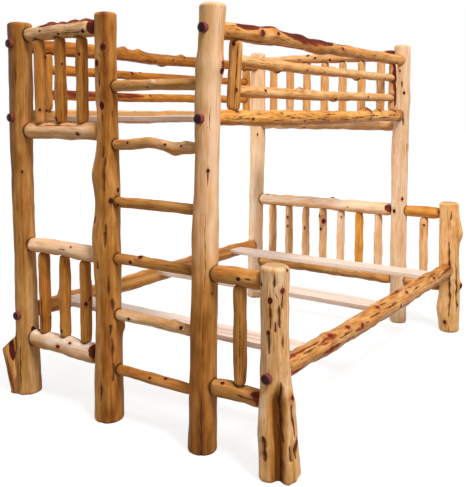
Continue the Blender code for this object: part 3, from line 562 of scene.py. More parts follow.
BURLS = {
    "post_ladder_wall": [(0.235, -118, 0.026, -0.012)],
    "post_ladder_wall_root": [(0.235, -45, 0.03, -0.014), (0.1, -45, 0.04, 0.006)],
    "post_ladder_inner": [(0.75, -142, 0.11, 0.007), (0.43, 30, 0.04, 0.008), (1.1, -140, 0.07, 0.006)],
    "post_ladder_outer": [(1.545, 12, 0.05, 0.01), (1.55, -150, 0.06, 0.007), (0.9, 20, 0.12, 0.004)],
    "post_ladder_short": [(0.3, 20, 0.06, 0.008), (0.2, -130, 0.06, 0.006)],
    "post_head_outer": [(1.45, 30, 0.05, 0.005)],
    "post_head_short": [
        (0.65, 4, 0.07, 0.016), (0.612, 4, 0.034, 0.014), (0.3, 0, 0.03, 0.01), (0.17, -150, 0.06, 0.008),
    ],
    "ladder_upper_top_rail": [
        (-0.475, 100, 0.024, 0.005), (-0.405, 100, 0.02, 0.004), (-0.335, 100, 0.026, 0.006),
        (-0.255, 100, 0.022, 0.005),
    ],
    "ladder_lower_foot_rail": [(-0.42, 100, 0.03, 0.006), (-0.55, 100, 0.025, 0.004)],
    "ladder_lower_spindle_2": [(0.52, -150, 0.025, 0.006), (0.62, 0, 0.03, 0.005)],
    "ladder_rung_2": [(0.225, 100, 0.022, 0.008), (0.28, 160, 0.018, 0.004)],
    "ladder_rung_3": [(0.05, 100, 0.02, 0.004)],
    "ladder_rung_6": [(0.125, 148, 0.018, 0.006), (0.165, 120, 0.014, 0.004)],
    "ladder_rung_5": [(0.19, 150, 0.02, 0.007), (0.235, -100, 0.028, 0.009), (0.29, 110, 0.022, 0.007)],
    "guard_top_rail_open": [(-0.62, 20, 0.05, 0.006), (-0.36, 15, 0.06, 0.008), (-0.15, -160, 0.07, 0.008)],
    "guard_top_rail_wall": [
        (-0.36, 10, 0.022, 0.01), (-0.24, 10, 0.022, 0.009), (0.16, 10, 0.026, 0.01),
        (-0.02, -160, 0.03, 0.008),
    ],
    "guard_bar_open_lower": [
        (-0.33, 10, 0.025, 0.006), (0.05, -170, 0.03, 0.006), (0.42, 10, 0.025, 0.006),
    ],
    "guard_bar_open_upper": [
        (-0.55, -170, 0.028, 0.007), (0.02, 10, 0.028, 0.005), (0.33, -170, 0.028, 0.007),
    ],
    "upper_side_rail_open": [(0.47, 12, 0.026, 0.014), (0.64, 10, 0.02, 0.008), (-0.53, 5, 0.04, 0.004)],
    "lower_side_rail_open": [(-0.65, 0, 0.03, 0.006), (-0.15, 0, 0.03, 0.007), (0.2, 0, 0.03, 0.006)],
    "head_lower_top_rail": [(-0.09, 95, 0.025, 0.006), (-0.45, 95, 0.03, 0.004)],
}
# Real stains plus painted shade (undersides, left sides, rail ends) and, below zero, painted light.
STAINS_AND_PAINTED_LIGHT = {
    "post_ladder_wall": [
        (0.95, 2.0, -112, 34, 0.95), (-0.2, 1.05, -112, 34, 0.12), (-0.2, 0.7, -60, 60, -0.15),
        (1.05, 2.0, -62, 34, 0.4), (-0.2, 0.8, 5, 34, -0.35),
    ],
    "post_ladder_wall_root": [(-0.1, 0.2, -80, 24, 0.8), (-0.1, 0.17, -42, 20, -0.5)],
    "post_ladder_inner": [
        (0.02, 0.23, -14, 10, 0.8), (0.42, 1.02, -140, 14, -0.8), (-0.2, 1.9, -62, 26, 0.45),
        (-0.2, 0.14, -35, 60, 0.4), (1.28, 1.72, -96, 28, -0.35), (-0.2, 1.9, -104, 28, -0.22),
        (1.04, 1.48, -136, 18, -1.1), (0.68, 1.04, -136, 16, -0.9),
    ],
    "ladder_rung_5": [(0.12, 0.36, 160, 30, -0.45)],
    "ladder_rung_6": [(0.04, 0.24, 150, 24, -0.5)],
    "post_ladder_outer": [
        (-0.1, 1.75, -128, 24, 0.4), (-0.3, 0.84, -66, 110, 0.4), (-0.3, 0.74, -62, 110, 0.3),
        (-0.3, 0.64, -62, 110, 0.3), (0.3, 1.0, -104, 30, 0.1), (-0.3, 0.16, -62, 90, 0.35),
        (-0.1, 0.34, -61, 12, 0.6), (0.66, 2.0, -22, 26, -0.5),
    ],
    "post_ladder_short": [
        (-0.1, 0.14, -40, 40, 0.35), (-0.2, 0.95, -112, 26, -0.35), (0.66, 0.95, -40, 50, -0.3),
    ],
    "post_head_wall": [(0.1, 1.2, -60, 80, -0.3)],
    "ladder_upper_top_rail": [(-0.8, 0.0, -118, 42, 0.6)],
    "ladder_upper_foot_rail": [(-0.24, -0.1, 170, 150, 1.1), (-0.8, 0.0, -118, 42, 0.6)],
    "ladder_lower_top_rail": [(-0.8, 0.0, -118, 42, 0.9)],
    "ladder_lower_foot_rail": [(-0.9, 0.1, -140, 42, 1.4), (-0.9, -0.48, -172, 44, 0.8)],
    "upper_side_rail_open": [(0.88, 1.12, 95, 140, 0.8), (-1.3, 1.3, 150, 40, 0.6)],
    "guard_top_rail_open": [(-1.3, 1.3, 155, 40, 0.6)],
    "guard_bar_open_upper": [(-1.3, 1.3, 150, 40, 0.6)],
    "guard_bar_open_lower": [(-1.3, 1.3, 150, 40, 0.6)],
    "lower_side_rail_open": [(-1.0, 1.0, 130, 30, 0.4)],
    "ladder_side_spindle": [(0.0, 1.0, -60, 60, -0.12)],
    "head_upper_top_rail": [(-1.0, 1.0, -124, 44, 0.7)],
    "head_lower_top_rail": [(-1.0, 1.0, -124, 40, 0.9)],
}
# Tone of each log: how pale, how golden (or greyer, below zero), and how streaked it is.
TONES = {
    "post_ladder_wall": (0.42, -0.18, 0.14),
    "post_ladder_wall_root": (0.5, 0.3, 0.2),
    "post_ladder_inner": (0.39, 0.2, 0.2),
    "post_ladder_outer": (0.74, 0.1, 0.1),
    "post_ladder_short": (0.73, 0.14, 0.45),
    "post_head_wall": (0.92, 0.12, 0.12),
    "post_head_outer": (0.91, 0.05, 0.18),
    "post_head_short": (0.88, 0.6, 0.45),
    "ladder_upper_top_rail": (0.84, 0.1, 0.45),
    "ladder_upper_foot_rail": (0.82, 0.12, 0.2),
    "ladder_upper_spindle": (0.4, 0.3, 0.28),
    "ladder_lower_top_rail": (1.02, 0.12, 0.25),
    "ladder_lower_foot_rail": (1.22, 0.0, 0.3),
    "ladder_lower_spindle": (0.4, 0.6, 0.28),
    "ladder_side": (0.52, 0.1, 0.32),
    "ladder_rung": (0.47, 0.22, 0.35),
    "ladder_rung_2": (0.74, 0.1, 0.4),
    "ladder_rung_5": (0.55, 0.02, 0.45),
    "ladder_rung_6": (0.52, 0.04, 0.4),
    "head_upper_top_rail": (0.86, 0.3, 0.35),
    "head_upper_spindle": (0.7, 0.35, 0.3),
    "head_lower_top_rail": (1.02, 0.16, 0.35),
    "head_lower_spindle_rail": (0.64, 0.4, 0.4),
    "head_lower_spindle_1": (0.84, 0.1, 0.25),
    "head_lower_spindle_2": (0.72, 0.22, 0.5),
    "head_lower_spindle_3": (0.78, 0.2, 0.4),
    "head_lower_spindle_4": (0.84, 0.22, 0.3),
    "head_lower_spindle_5": (0.98, 0.08, 0.15),
    "head_lower_spindle_6": (0.68, 0.95, 0.3),
    "head_lower_spindle_7": (0.96, 0.1, 0.15),
    "head_side_top_rail": (0.62, 0.85, 0.3),
    "head_side_spindle": (0.77, 0.32, 0.3),
    "head_side_foot_rail": (0.58, 0.45, 0.3),
    "guard_top_rail_open": (0.68, 0.72, 0.85),
    "guard_top_rail_wall": (0.31, 0.6, 0.45),
    "guard_upright_open_ladder": (0.52, 0.4, 0.4),
    "guard_upright_open_head": (0.74, 0.15, 0.3),
    "guard_upright_wall": (0.48, 0.7, 0.4),
    "guard_bar_open": (0.82, 0.55, 0.7),
    "guard_bar_wall": (0.48, 0.75, 0.35),
    "upper_side_rail_open": (0.78, 0.92, 0.95),
    "upper_side_rail_wall": (0.74, 0.4, 0.25),
    "lower_side_rail_open": (0.55, 0.45, 0.85),
    "lower_side_rail_wall": (0.54, 0.75, 0.35),
}


class Spine(NamedTuple):
    """The measured centre line of a log: stations along its axis, centres across it, and radii."""

    axis: int
    along: np.ndarray
    centre: np.ndarray
    radius: np.ndarray
    start: float
    end: float

    def at(self, along):
        """Centre and radius at places along the axis."""
        lines = [np.interp(along, self.along, line) for line in (*self.centre.T, self.radius)]
        return np.stack(lines[:2], axis=-1), lines[2]


class Ledge(NamedTuple):
    """The step cut along a side rail for the slats: its wall, its level, which way is inward, its ends."""

    wall: float
    level: float
    inward: int
    start: float
    end: float


def random_for(name, more=0):
    """Random numbers of a piece's own, the same in every run."""
    return np.random.default_rng(sum(map(ord, name)) + more)


def cad_edges(node):
    """Both ends of every edge of a CAD node."""
    mesh = frame["nodes"][node].data
    places = np.empty(len(mesh.vertices) * 3)
    mesh.vertices.foreach_get("co", places)
    ends = np.empty(len(mesh.edges) * 2, dtype=int)
    mesh.edges.foreach_get("vertices", ends)
    return places.reshape(-1, 3)[ends.reshape(-1, 2)]


def section_circle(points):
    """Centre and radius of the circle that fits the outline of a cross section."""
    reach = (points @ SUPPORT.T).max(axis=0)
    centre = 2 * (SUPPORT * reach[:, None]).mean(axis=0)
    return (*centre, (reach - SUPPORT @ centre).mean())


def smooth(values, stations):
    """Ease a measured line over a number of stations."""
    window = np.hanning(2 * stations + 1)
    window /= window.sum()
    padded = np.pad(values, stations, mode="edge")
    return np.convolve(padded, window, mode="valid")


def measure(node, axis, tenoned, window=(), skip=(), trim=False):
    """The spine of a CAD log.

    A window keeps to one log of a comb, skipped places are bridged, and a trim leaves a root spur out.
    """
    edges = cad_edges(node)
    for direction, low, high in window:
        edges = edges[((edges[..., direction] > low) & (edges[..., direction] < high)).all(axis=1)]
    low, high = edges[..., axis].min(), edges[..., axis].max()
    start, end = edges[:, 0], edges[:, 1]
    sections = {}
    for station in np.arange(low + STATION_STEP / 2, high, STATION_STEP):
        if any(abs(station - place) < KNOB_MARGIN for place in skip):
            continue
        crossing = (start[:, axis] < station) != (end[:, axis] < station)
        near, far = start[crossing], end[crossing]
        share = (station - near[:, axis]) / (far[:, axis] - near[:, axis])
        sections[station] = (near + share[:, None] * (far - near))[:, ACROSS[axis]]
    rows = np.array([(station, *section_circle(points)) for station, points in sections.items()])
    if trim:
        middle, usual = np.median(rows[:, 1:3], axis=0), np.median(rows[:, 3])
        for row, points in zip(rows, sections.values()):
            row[1:] = section_circle(points[np.hypot(*(points - middle).T) < POST_TRIM * usual])
    if tenoned:
        rows = rows[rows[:, 3] > BODY_SHARE * np.median(rows[:, 3])]
        low, high = rows[0, 0], rows[-1, 0]
    else:
        rows = rows[rows[:, 0] < high - POST_ROUND]
    fine = np.arange(rows[0, 0], rows[-1, 0], STATION_STEP)
    ease = RAIL_EASE if tenoned else POST_EASE
    lines = [smooth(np.interp(fine, rows[:, 0], line), ease) for line in rows.T[1:]]
    return Spine(axis, fine, np.stack(lines[:2], axis=1), lines[2], low, high)


def wrap(angles):
    """Angles brought to the half turn either side of zero."""
    return (angles + math.pi) % (2 * math.pi) - math.pi


def fade(values, low, high):
    """A soft step: 0 at low and 1 at high."""
    share = np.clip((values - low) / (high - low), 0.0, 1.0)
    return share * share * (3 - 2 * share)


def pointed(values, start, end):
    """1 halfway from start to end, drawn in to a point at either, and 0 outside."""
    share = np.clip((values - start) / (end - start), 0.0, 1.0)
    return np.sqrt(4 * share * (1 - share))


def post_rings(spine, drop):
    """Rings of a post: flat foot, sides, rounded top and slightly domed top face."""
    top = spine.end - drop
    shoulder = top - POST_ROUND
    count = round((shoulder - spine.start) / RING_STEP)
    rings = [(spine.start + height, share, flat) for height, share, flat in POST_FOOT]
    rings += [(place, 1.0, 0.0) for place in np.linspace(spine.start + POST_FOOT_HEIGHT, shoulder, count)]
    for turn in POST_TOP_TURNS:
        rim = 1 - POST_ROUND * (1 - math.cos(turn)) / spine.radius[-1]
        rings.append((shoulder + POST_ROUND * math.sin(turn) - POST_DOME, rim, 0.0))
    rings += [(top - POST_DOME * share * share, rim * share, 1.0) for share in POST_TOP_SHARES]
    return np.array(rings)


def nose_rings(spine):
    """Rings of a tenoned log: a tenon inside each host, a rounded nose, and the body between."""
    tip = NOSE_SEAT - NOSE_LENGTH
    ends = [(tip - TENON_DEPTH, TENON_SHARE / 2), (tip - TENON_DEPTH, TENON_SHARE)]
    ends.append((tip - TENON_GAP, TENON_SHARE))
    for turn in NOSE_TURNS:
        share = NOSE_SHARE + (1 - NOSE_SHARE) * math.cos(turn)
        ends.append((NOSE_SEAT - NOSE_LENGTH * math.sin(turn), share))
    first, last = spine.start + NOSE_INSET, spine.end - NOSE_INSET
    count = round((spine.end - spine.start - 2 * NOSE_INSET) / RING_STEP)
    rings = [(spine.start + offset, share, 0.0) for offset, share in ends]
    rings += [(place, 1.0, 0.0) for place in np.linspace(first, last, count)]
    rings += [(spine.end - offset, share, 0.0) for offset, share in reversed(ends)]
    return np.array(rings)


def grid_mesh(name, places, flat=False):
    """A mesh over a grid of places, closed round every ring and capped at both ends."""
    grid = np.arange(places[..., 0].size).reshape(places.shape[:2])
    after = np.roll(grid, -1, axis=1)
    quads = np.stack([grid[:-1], after[:-1], after[1:], grid[1:]], axis=-1).reshape(-1, 4)
    faces = [*quads.tolist(), grid[0][::-1].tolist(), grid[-1].tolist()]
    mesh = bpy.data.meshes.new(name)
    mesh.from_pydata(places.reshape(-1, 3), [], faces, shade_flat=flat)
    return mesh


def store(mesh, name, values):
    """Keep one value, or one vector, per point of a grid mesh."""
    kind, key = ("FLOAT_VECTOR", "vector") if values.ndim == 3 else ("FLOAT", "value")
    attribute = mesh.attributes.new(name, kind, "POINT")
    attribute.data.foreach_set(key, values.astype(np.float32).ravel())


def add_object(name, data):
    """Put new data into the scene at the origin."""
    item = bpy.data.objects.new(name, data)
    bpy.context.scene.collection.objects.link(item)
    return item


class LogSurface:
    """A log's surface as a grid of rings and sides, with what grows on it."""

    def __init__(self, name, spine, rings, sides):
        self.name = name
        self.spine = spine
        self.random = random_for(name)
        self.along, self.share, flat = rings.T[:, :, None]
        self.angle = (np.arange(sides) * 2 * math.pi / sides)[None, :]
        self.centre, radius = spine.at(rings[:, 0])
        self.body = radius[:, None]
        shape = (len(rings), sides)
        self.flat = np.broadcast_to(flat, shape)
        for layer in ("rise", "bend", "cracked", "heart_and_end_shadow", "stain", "socket", "sawn"):
            setattr(self, layer, np.zeros(shape))
        self.knot = np.full((*shape, 3), KNOT_NONE)
        self.knot_distance = np.full(shape, KNOT_NONE)
        self.check = np.full(shape, CHECK_FAR)

    def shown(self, table, kind):
        """What the photo shows on this log, from one of the tables."""
        return [kind(*row) for row in table.get(self.name, ())]

    def beside(self, along, angle):
        """Distances from a place on the log, along it and round it."""
        return self.along - along, wrap(self.angle - math.radians(angle)) * self.body

    def aside(self, patch):
        """Distances round the log from the middle of a patch, as shares of its spread."""
        return np.degrees(np.abs(wrap(self.angle - math.radians(patch.angle)))) / patch.spread

    def add_lobes(self, depth):
        """Make the log unevenly round, and let the unevenness turn slowly along it."""
        turns = self.along * self.random.uniform(-LOBE_TWIST, LOBE_TWIST)
        for lobe, weight in LOBES:
            phase = self.random.uniform(0, 2 * math.pi)
            swing = np.sin(self.along * self.random.uniform(*LOBE_WAVES) + phase)
            around = np.cos(lobe * self.angle + phase + turns * lobe)
            self.rise += self.body * depth * weight * around * (1 - LOBE_SWING + LOBE_SWING * swing)

    def scatter_knots(self, count, thick):
        """More knots where the photo shows none, clear of the knots that it shows."""
        low, high = self.along.min() + KNOT_MARGIN, self.along.max() - KNOT_MARGIN
        sizes = [thick * share for share in KNOT_SHARES]
        pick = self.random.uniform
        found = []
        for _ in range(count):
            place, angle, size = pick(low, high), pick(-180, 180), pick(*sizes)
            found.append(Knot(place, angle, size, size * pick(*KNOT_RISES), pick(0, 1)))
        shown = np.array([knot.along for knot in self.shown(KNOTS, Knot)])
        return [knot for knot in found if not (np.abs(knot.along - shown) < KNOT_CLEARANCE).any()]

    def add_marks(self, more_knots=()):
        """Put on the log what the photo shows on it, and more knots."""
        for knot in (*self.shown(KNOTS, Knot), *more_knots):
            self.add_knot(knot)
        for burl in self.shown(BURLS, Burl):
            along, across = self.beside(burl.along, burl.angle)
            across = across / (BURL_ROUND * burl.reach)
            self.rise += burl.rise * np.exp(-((along / burl.reach) ** 2) - across**2)
        self.add_checks(self.shown(CHECKS, Check))
        for flute in self.shown(FLUTES, Flute):
            self.add_flute(flute)
        # Heartwood patches, partly painted shadow where a rail end meets a post.
        for heart_and_end_shadow in self.shown(HEARTS_AND_END_SHADOWS, Patch):
            taper = pointed(self.along, heart_and_end_shadow.start, heart_and_end_shadow.end)
            bared = heart_and_end_shadow.strength * np.exp(-((self.aside(heart_and_end_shadow) / np.maximum(taper, THINNEST)) ** 2))
            self.heart_and_end_shadow = np.maximum(self.heart_and_end_shadow, np.where(taper > 0, bared, 0.0))
        # Stains, painted shade and painted light, as darker or paler patches round the log.
        for stain in self.shown(STAINS_AND_PAINTED_LIGHT, Patch):
            along = fade(self.along, stain.start, stain.start + STAIN_AND_LIGHT_FADE)
            along = along * fade(-self.along, -stain.end, STAIN_AND_LIGHT_FADE - stain.end)
            self.stain += stain.strength * along * np.exp(-(self.aside(stain) ** 2))

    def add_knot(self, knot):
        """Bulge the wood at a knot, part the grain round it, and note where it is the nearest knot."""
        along, across = self.beside(knot.along, knot.angle)
        along = along / KNOT_STRETCH
        distance = np.hypot(along, across) / knot.size
        self.rise += knot.rise * np.exp(-((distance / KNOT_BULGE) ** 2))
        self.rise -= KNOT_DIP_SHARE * abs(knot.rise) * np.exp(-((distance / KNOT_DIP) ** 4))
        self.bend -= across / np.maximum(distance, 1.0) ** 2 * np.exp(-((distance / KNOT_PARTING) ** 2))
        nearer = distance < self.knot_distance
        self.knot_distance = np.where(nearer, distance, self.knot_distance)
        offset = np.stack(np.broadcast_arrays(across / knot.size, along / knot.size, knot.red), axis=-1)
        self.knot = np.where(nearer[..., None], offset, self.knot)

    def add_checks(self, checks):
        """Open each drying crack, pointed at both ends and swaying with the grain.

        Cracks side by side measure their offsets in opposite senses, so that no offset between them is
        zero, and the wood halfway between two cracks belongs to neither.
        """
        turn, uneven = CHECK_UNEVEN
        senses = []
        nearest = second = np.full(self.check.shape, CHECK_NONE)
        for check in sorted(checks, key=lambda check: check.angle):
            beside = [
                sense for other, sense in senses if other.start < check.end and check.start < other.end
            ]
            sense = -beside[-1] if beside else 1
            senses.append((check, sense))
            phase = self.random.uniform(0, 2 * math.pi)
            sway = sum(
                np.radians(check.sway) * np.sin(self.along * pace + times * phase) * weight
                for times, (pace, weight) in enumerate(CHECK_SWAYS, 1)
            )
            across = wrap(self.angle - math.radians(check.angle) - sway) * self.body
            taper = pointed(self.along, check.start, check.end)
            taper = taper * (1 - uneven + uneven * np.sin(self.along * turn + 3 * phase))
            width = np.maximum(check.width * taper, THINNEST)
            self.rise -= check.depth * taper * np.exp(-((across / width) ** 2))
            offset = sense * across / width
            distance = np.abs(offset)
            nearer = distance < nearest
            second = np.where(nearer, nearest, np.minimum(second, distance))
            nearest = np.where(nearer, distance, nearest)
            self.check = np.where(nearer, np.clip(offset, -CHECK_FAR, CHECK_FAR), self.check)
        alone = fade(second / np.maximum(nearest, THINNEST), *CHECK_ALONE)
        inside = 1 - fade(nearest, *CHECK_INSIDE)
        self.cracked = (1 - fade(nearest, *CHECK_FADE)) * np.maximum(alone, inside)

    def add_flute(self, flute):
        """Hollow a groove between the roots of a post's foot, raise its two banks, and brown it."""
        angle = np.radians(flute.angle + flute.turn * self.along)
        across = wrap(self.angle - angle) * self.body
        taper = fade(-self.along, -flute.top, -FLUTE_FADE * flute.top)
        width = flute.width * (FLUTE_POINT + (1 - FLUTE_POINT) * taper)
        hollow = taper * np.exp(-(np.abs(across / width) ** 3))
        self.rise -= flute.depth * hollow
        bank = np.exp(-(((np.abs(across) - BANK_PLACE * width) / width) ** 2))
        self.rise += BANK_HEIGHT * flute.depth * taper * bank
        # The hollow is made darker, in the same layer as the patches.
        self.stain += FLUTE_BROWNING * flute.depth * hollow

    def sink_sockets(self, sockets):
        """Sink a shallow counterbore where another log's tenon enters, and mark a rim round it for painted
        shade.
        """
        for place, angle, radius in sockets:
            distance = np.hypot(*self.beside(place, angle))
            depth = 1 - fade(distance, radius - SOCKET_EDGE / 2, radius + SOCKET_EDGE / 2)
            self.rise = self.rise * (1 - depth) - SOCKET_DEPTH * depth
            rim = 1 - fade(distance, radius - SOCKET_EDGE, radius + 2 * SOCKET_EDGE)
            self.socket = np.maximum(self.socket, rim)

    def cut_ledge(self, places, ledge):
        """Bring the wood inside the ledge back to the ledge's wall or level, whichever is nearer."""
        beyond = (places[..., 0] - ledge.wall) * ledge.inward
        above = places[..., 2] - ledge.level
        cut = (beyond > 0) & (above > 0) & (self.along > ledge.start) & (self.along < ledge.end)
        to_wall = cut & (beyond < above)
        places[..., 0] = np.where(to_wall, ledge.wall, places[..., 0])
        places[..., 2] = np.where(cut & ~to_wall, ledge.level, places[..., 2])
        self.sawn = np.maximum(self.sawn, cut)

    def points(self, ledge):
        """Grid of places in the frame, and the wood's own coordinates with the grain parted round knots."""
        foot = self.along == self.along.min()
        keep = self.share**2 * np.where(foot, 1.0, 1 - self.flat)
        radius = self.body * self.share + self.rise * keep
        cosine, sine = np.cos(self.angle), np.sin(self.angle)
        across = np.stack([cosine * radius, sine * radius], axis=-1)
        along = np.broadcast_to(self.along, radius.shape)[..., None]
        places = np.empty((*radius.shape, 3))
        places[..., [self.spine.axis]] = along
        places[..., ACROSS[self.spine.axis]] = self.centre[:, None] + across
        if ledge:
            self.cut_ledge(places, ledge)
        grain = across + np.stack([-sine * self.bend, cosine * self.bend], axis=-1)
        wood = np.concatenate([grain, along], axis=-1) + self.random.uniform(0, WOOD_SHIFT, 3)
        return places, wood

    def build(self, tone, ledge=None):
        """Make the mesh with the values that the finish reads."""
        places, wood = self.points(ledge)
        mesh = grid_mesh(self.name, places)
        values = {
            "wood": wood,
            "knot": self.knot,
            "knot_near": 1 - fade(self.knot_distance, *KNOT_FADE),
            "check": self.check,
            "check_near": self.cracked,
            "heart_and_end_shadow": self.heart_and_end_shadow,
            "stain": self.stain,
            "socket": self.socket,
            "sawn": self.sawn,
            "end_grain": self.flat,
            "pith": np.broadcast_to(self.body * self.share, self.flat.shape),
            "tone": np.broadcast_to(tone, places.shape),
        }
        for key, value in values.items():
            store(mesh, key, value)
        return add_object(self.name, mesh)


class Signal:
    """A node's output, for sums and products with other outputs and with numbers."""

    def __init__(self, graph, socket):
        self.graph = graph
        self.socket = socket

    def __add__(self, other):
        return self.graph.math("ADD", self, other)

    def __sub__(self, other):
        return self.graph.math("SUBTRACT", self, other)

    def __rsub__(self, other):
        return self.graph.math("SUBTRACT", other, self)

    def __mul__(self, other):
        return self.graph.math("MULTIPLY", self, other)

    def __abs__(self):
        return self.graph.math("ABSOLUTE", self)

    def around(self, depth):
        """A value from 0 to 1 turned into one that swings by a depth either side of zero."""
        return (self - 0.5) * depth

    def about(self, level, swing):
        """A value from 0 to 1 turned into one that swings about a level."""
        return self.around(swing) + level

    def step(self, low, high, reach=1.0):
        """A soft step from 0 at low to reach at high."""
        inputs = {"Value": self, "From Min": low, "From Max": high, "To Max": reach}
        return self.graph.add("ShaderNodeMapRange", inputs, interpolation_type="SMOOTHSTEP")


class Graph:
    """Adds nodes to a tree and wires them up."""

    def __init__(self, tree):
        self.tree = tree
        tree.nodes.clear()

    def node(self, kind, inputs=None, **settings):
        """A node with its settings, and with values or links on its inputs."""
        node = self.tree.nodes.new(kind)
        for name, value in settings.items():
            setattr(node, name, value)
        for key, value in (inputs or {}).items():
            socket = node.inputs[key]
            if isinstance(value, Signal):
                self.tree.links.new(value.socket, socket)
            else:
                socket.default_value = (*value, 1.0) if socket.type == "RGBA" else value
        return node

    def add(self, kind, inputs=None, output=0, **settings):
        """One output of a new node."""
        return Signal(self, self.node(kind, inputs, **settings).outputs[output])

    def math(self, operation, *values, clamp=False):
        """Arithmetic on outputs and numbers."""
        return self.add("ShaderNodeMath", dict(enumerate(values)), operation=operation, use_clamp=clamp)

    def stretched(self, vector, scale):
        """A vector times a scale along each direction."""
        return self.add("ShaderNodeVectorMath", {0: vector, 1: scale}, operation="MULTIPLY")

    def scaled(self, vector, factor):
        """A vector or a colour times a factor."""
        return self.add("ShaderNodeVectorMath", {0: vector, "Scale": factor}, operation="SCALE")

    def length(self, vector):
        """How long a vector is."""
        return self.add("ShaderNodeVectorMath", {0: vector}, 1, operation="LENGTH")

    def split(self, vector):
        """The three coordinates of a vector."""
        return [Signal(self, output) for output in self.node("ShaderNodeSeparateXYZ", {0: vector}).outputs]

    def noise(self, place, stretch, detail, roughness=0.5):
        """Noise at a place."""
        place = self.stretched(place, stretch)
        inputs = {"Vector": place, "Scale": 1.0, "Detail": detail, "Roughness": roughness}
        return self.add("ShaderNodeTexNoise", inputs)

    def speckles(self, place, stretch, detail, *levels):
        """Where noise at a place is high."""
        return self.noise(place, stretch, detail).step(*levels)

    def blend(self, share, low, high, **settings):
        """Mix two colours."""
        return self.add("ShaderNodeMix", {0: share, 6: low, 7: high}, 2, data_type="RGBA", **settings)

    def tint(self, share, colour, tint, **settings):
        """A colour multiplied by a tint, to the given share."""
        return self.blend(share, colour, self.blend(1.0, colour, tint, blend_type="MULTIPLY"), **settings)

    def ramp(self, value, stops):
        """Colours along a value, as (place, colour)."""
        node = self.node("ShaderNodeValToRGB", {"Fac": value})
        elements = node.color_ramp.elements
        elements.remove(elements[1])
        elements[0].position = stops[0][0]
        elements[0].color = (*stops[0][1], 1.0)
        for place, colour in stops[1:]:
            elements.new(place).color = (*colour, 1.0)
        return Signal(self, node.outputs[0])

    def background_rays(self):
        """1 for the rays that show the background: from the camera, mirrored or through glass."""
        rays = self.node("ShaderNodeLightPath").outputs
        camera, through, glossy = (
            Signal(self, rays[f"Is {kind} Ray"]) for kind in ("Camera", "Transmission", "Glossy")
        )
        return self.math("MAXIMUM", self.math("MAXIMUM", camera, through), glossy)

    def surface(self, colour, roughness, levels=None, relief=None):
        """The shader of a surface, with a relief as (height, strength, distance)."""
        inputs = {"Base Color": colour, "Roughness": roughness, **(levels or {})}
        if relief:
            bump = dict(zip(("Height", "Strength", "Distance"), relief))
            inputs["Normal"] = self.add("ShaderNodeBump", bump)
        return self.add("ShaderNodeBsdfPrincipled", inputs)


class Finish(Graph):
    """The nodes of a new material."""

    def __init__(self, name):
        self.material = bpy.data.materials.new(name)
        self.material.use_nodes = True
        super().__init__(self.material.node_tree)

    def carried(self, key, output="Fac"):
        """A value that the log's mesh carries."""
        return self.add("ShaderNodeAttribute", output=output, attribute_name=key)

    def place(self):
        """The place on the piece."""
        return self.add("ShaderNodeTexCoord", output="Object")

    def facing(self, direction):
        """How far the surface faces one way or the other along a direction."""
        return abs(self.split(self.add("ShaderNodeNewGeometry", output="Normal"))[direction])

    def done(self, shader):
        """The material with its shader."""
        self.node("ShaderNodeOutputMaterial", {"Surface": shader})
        return self.material


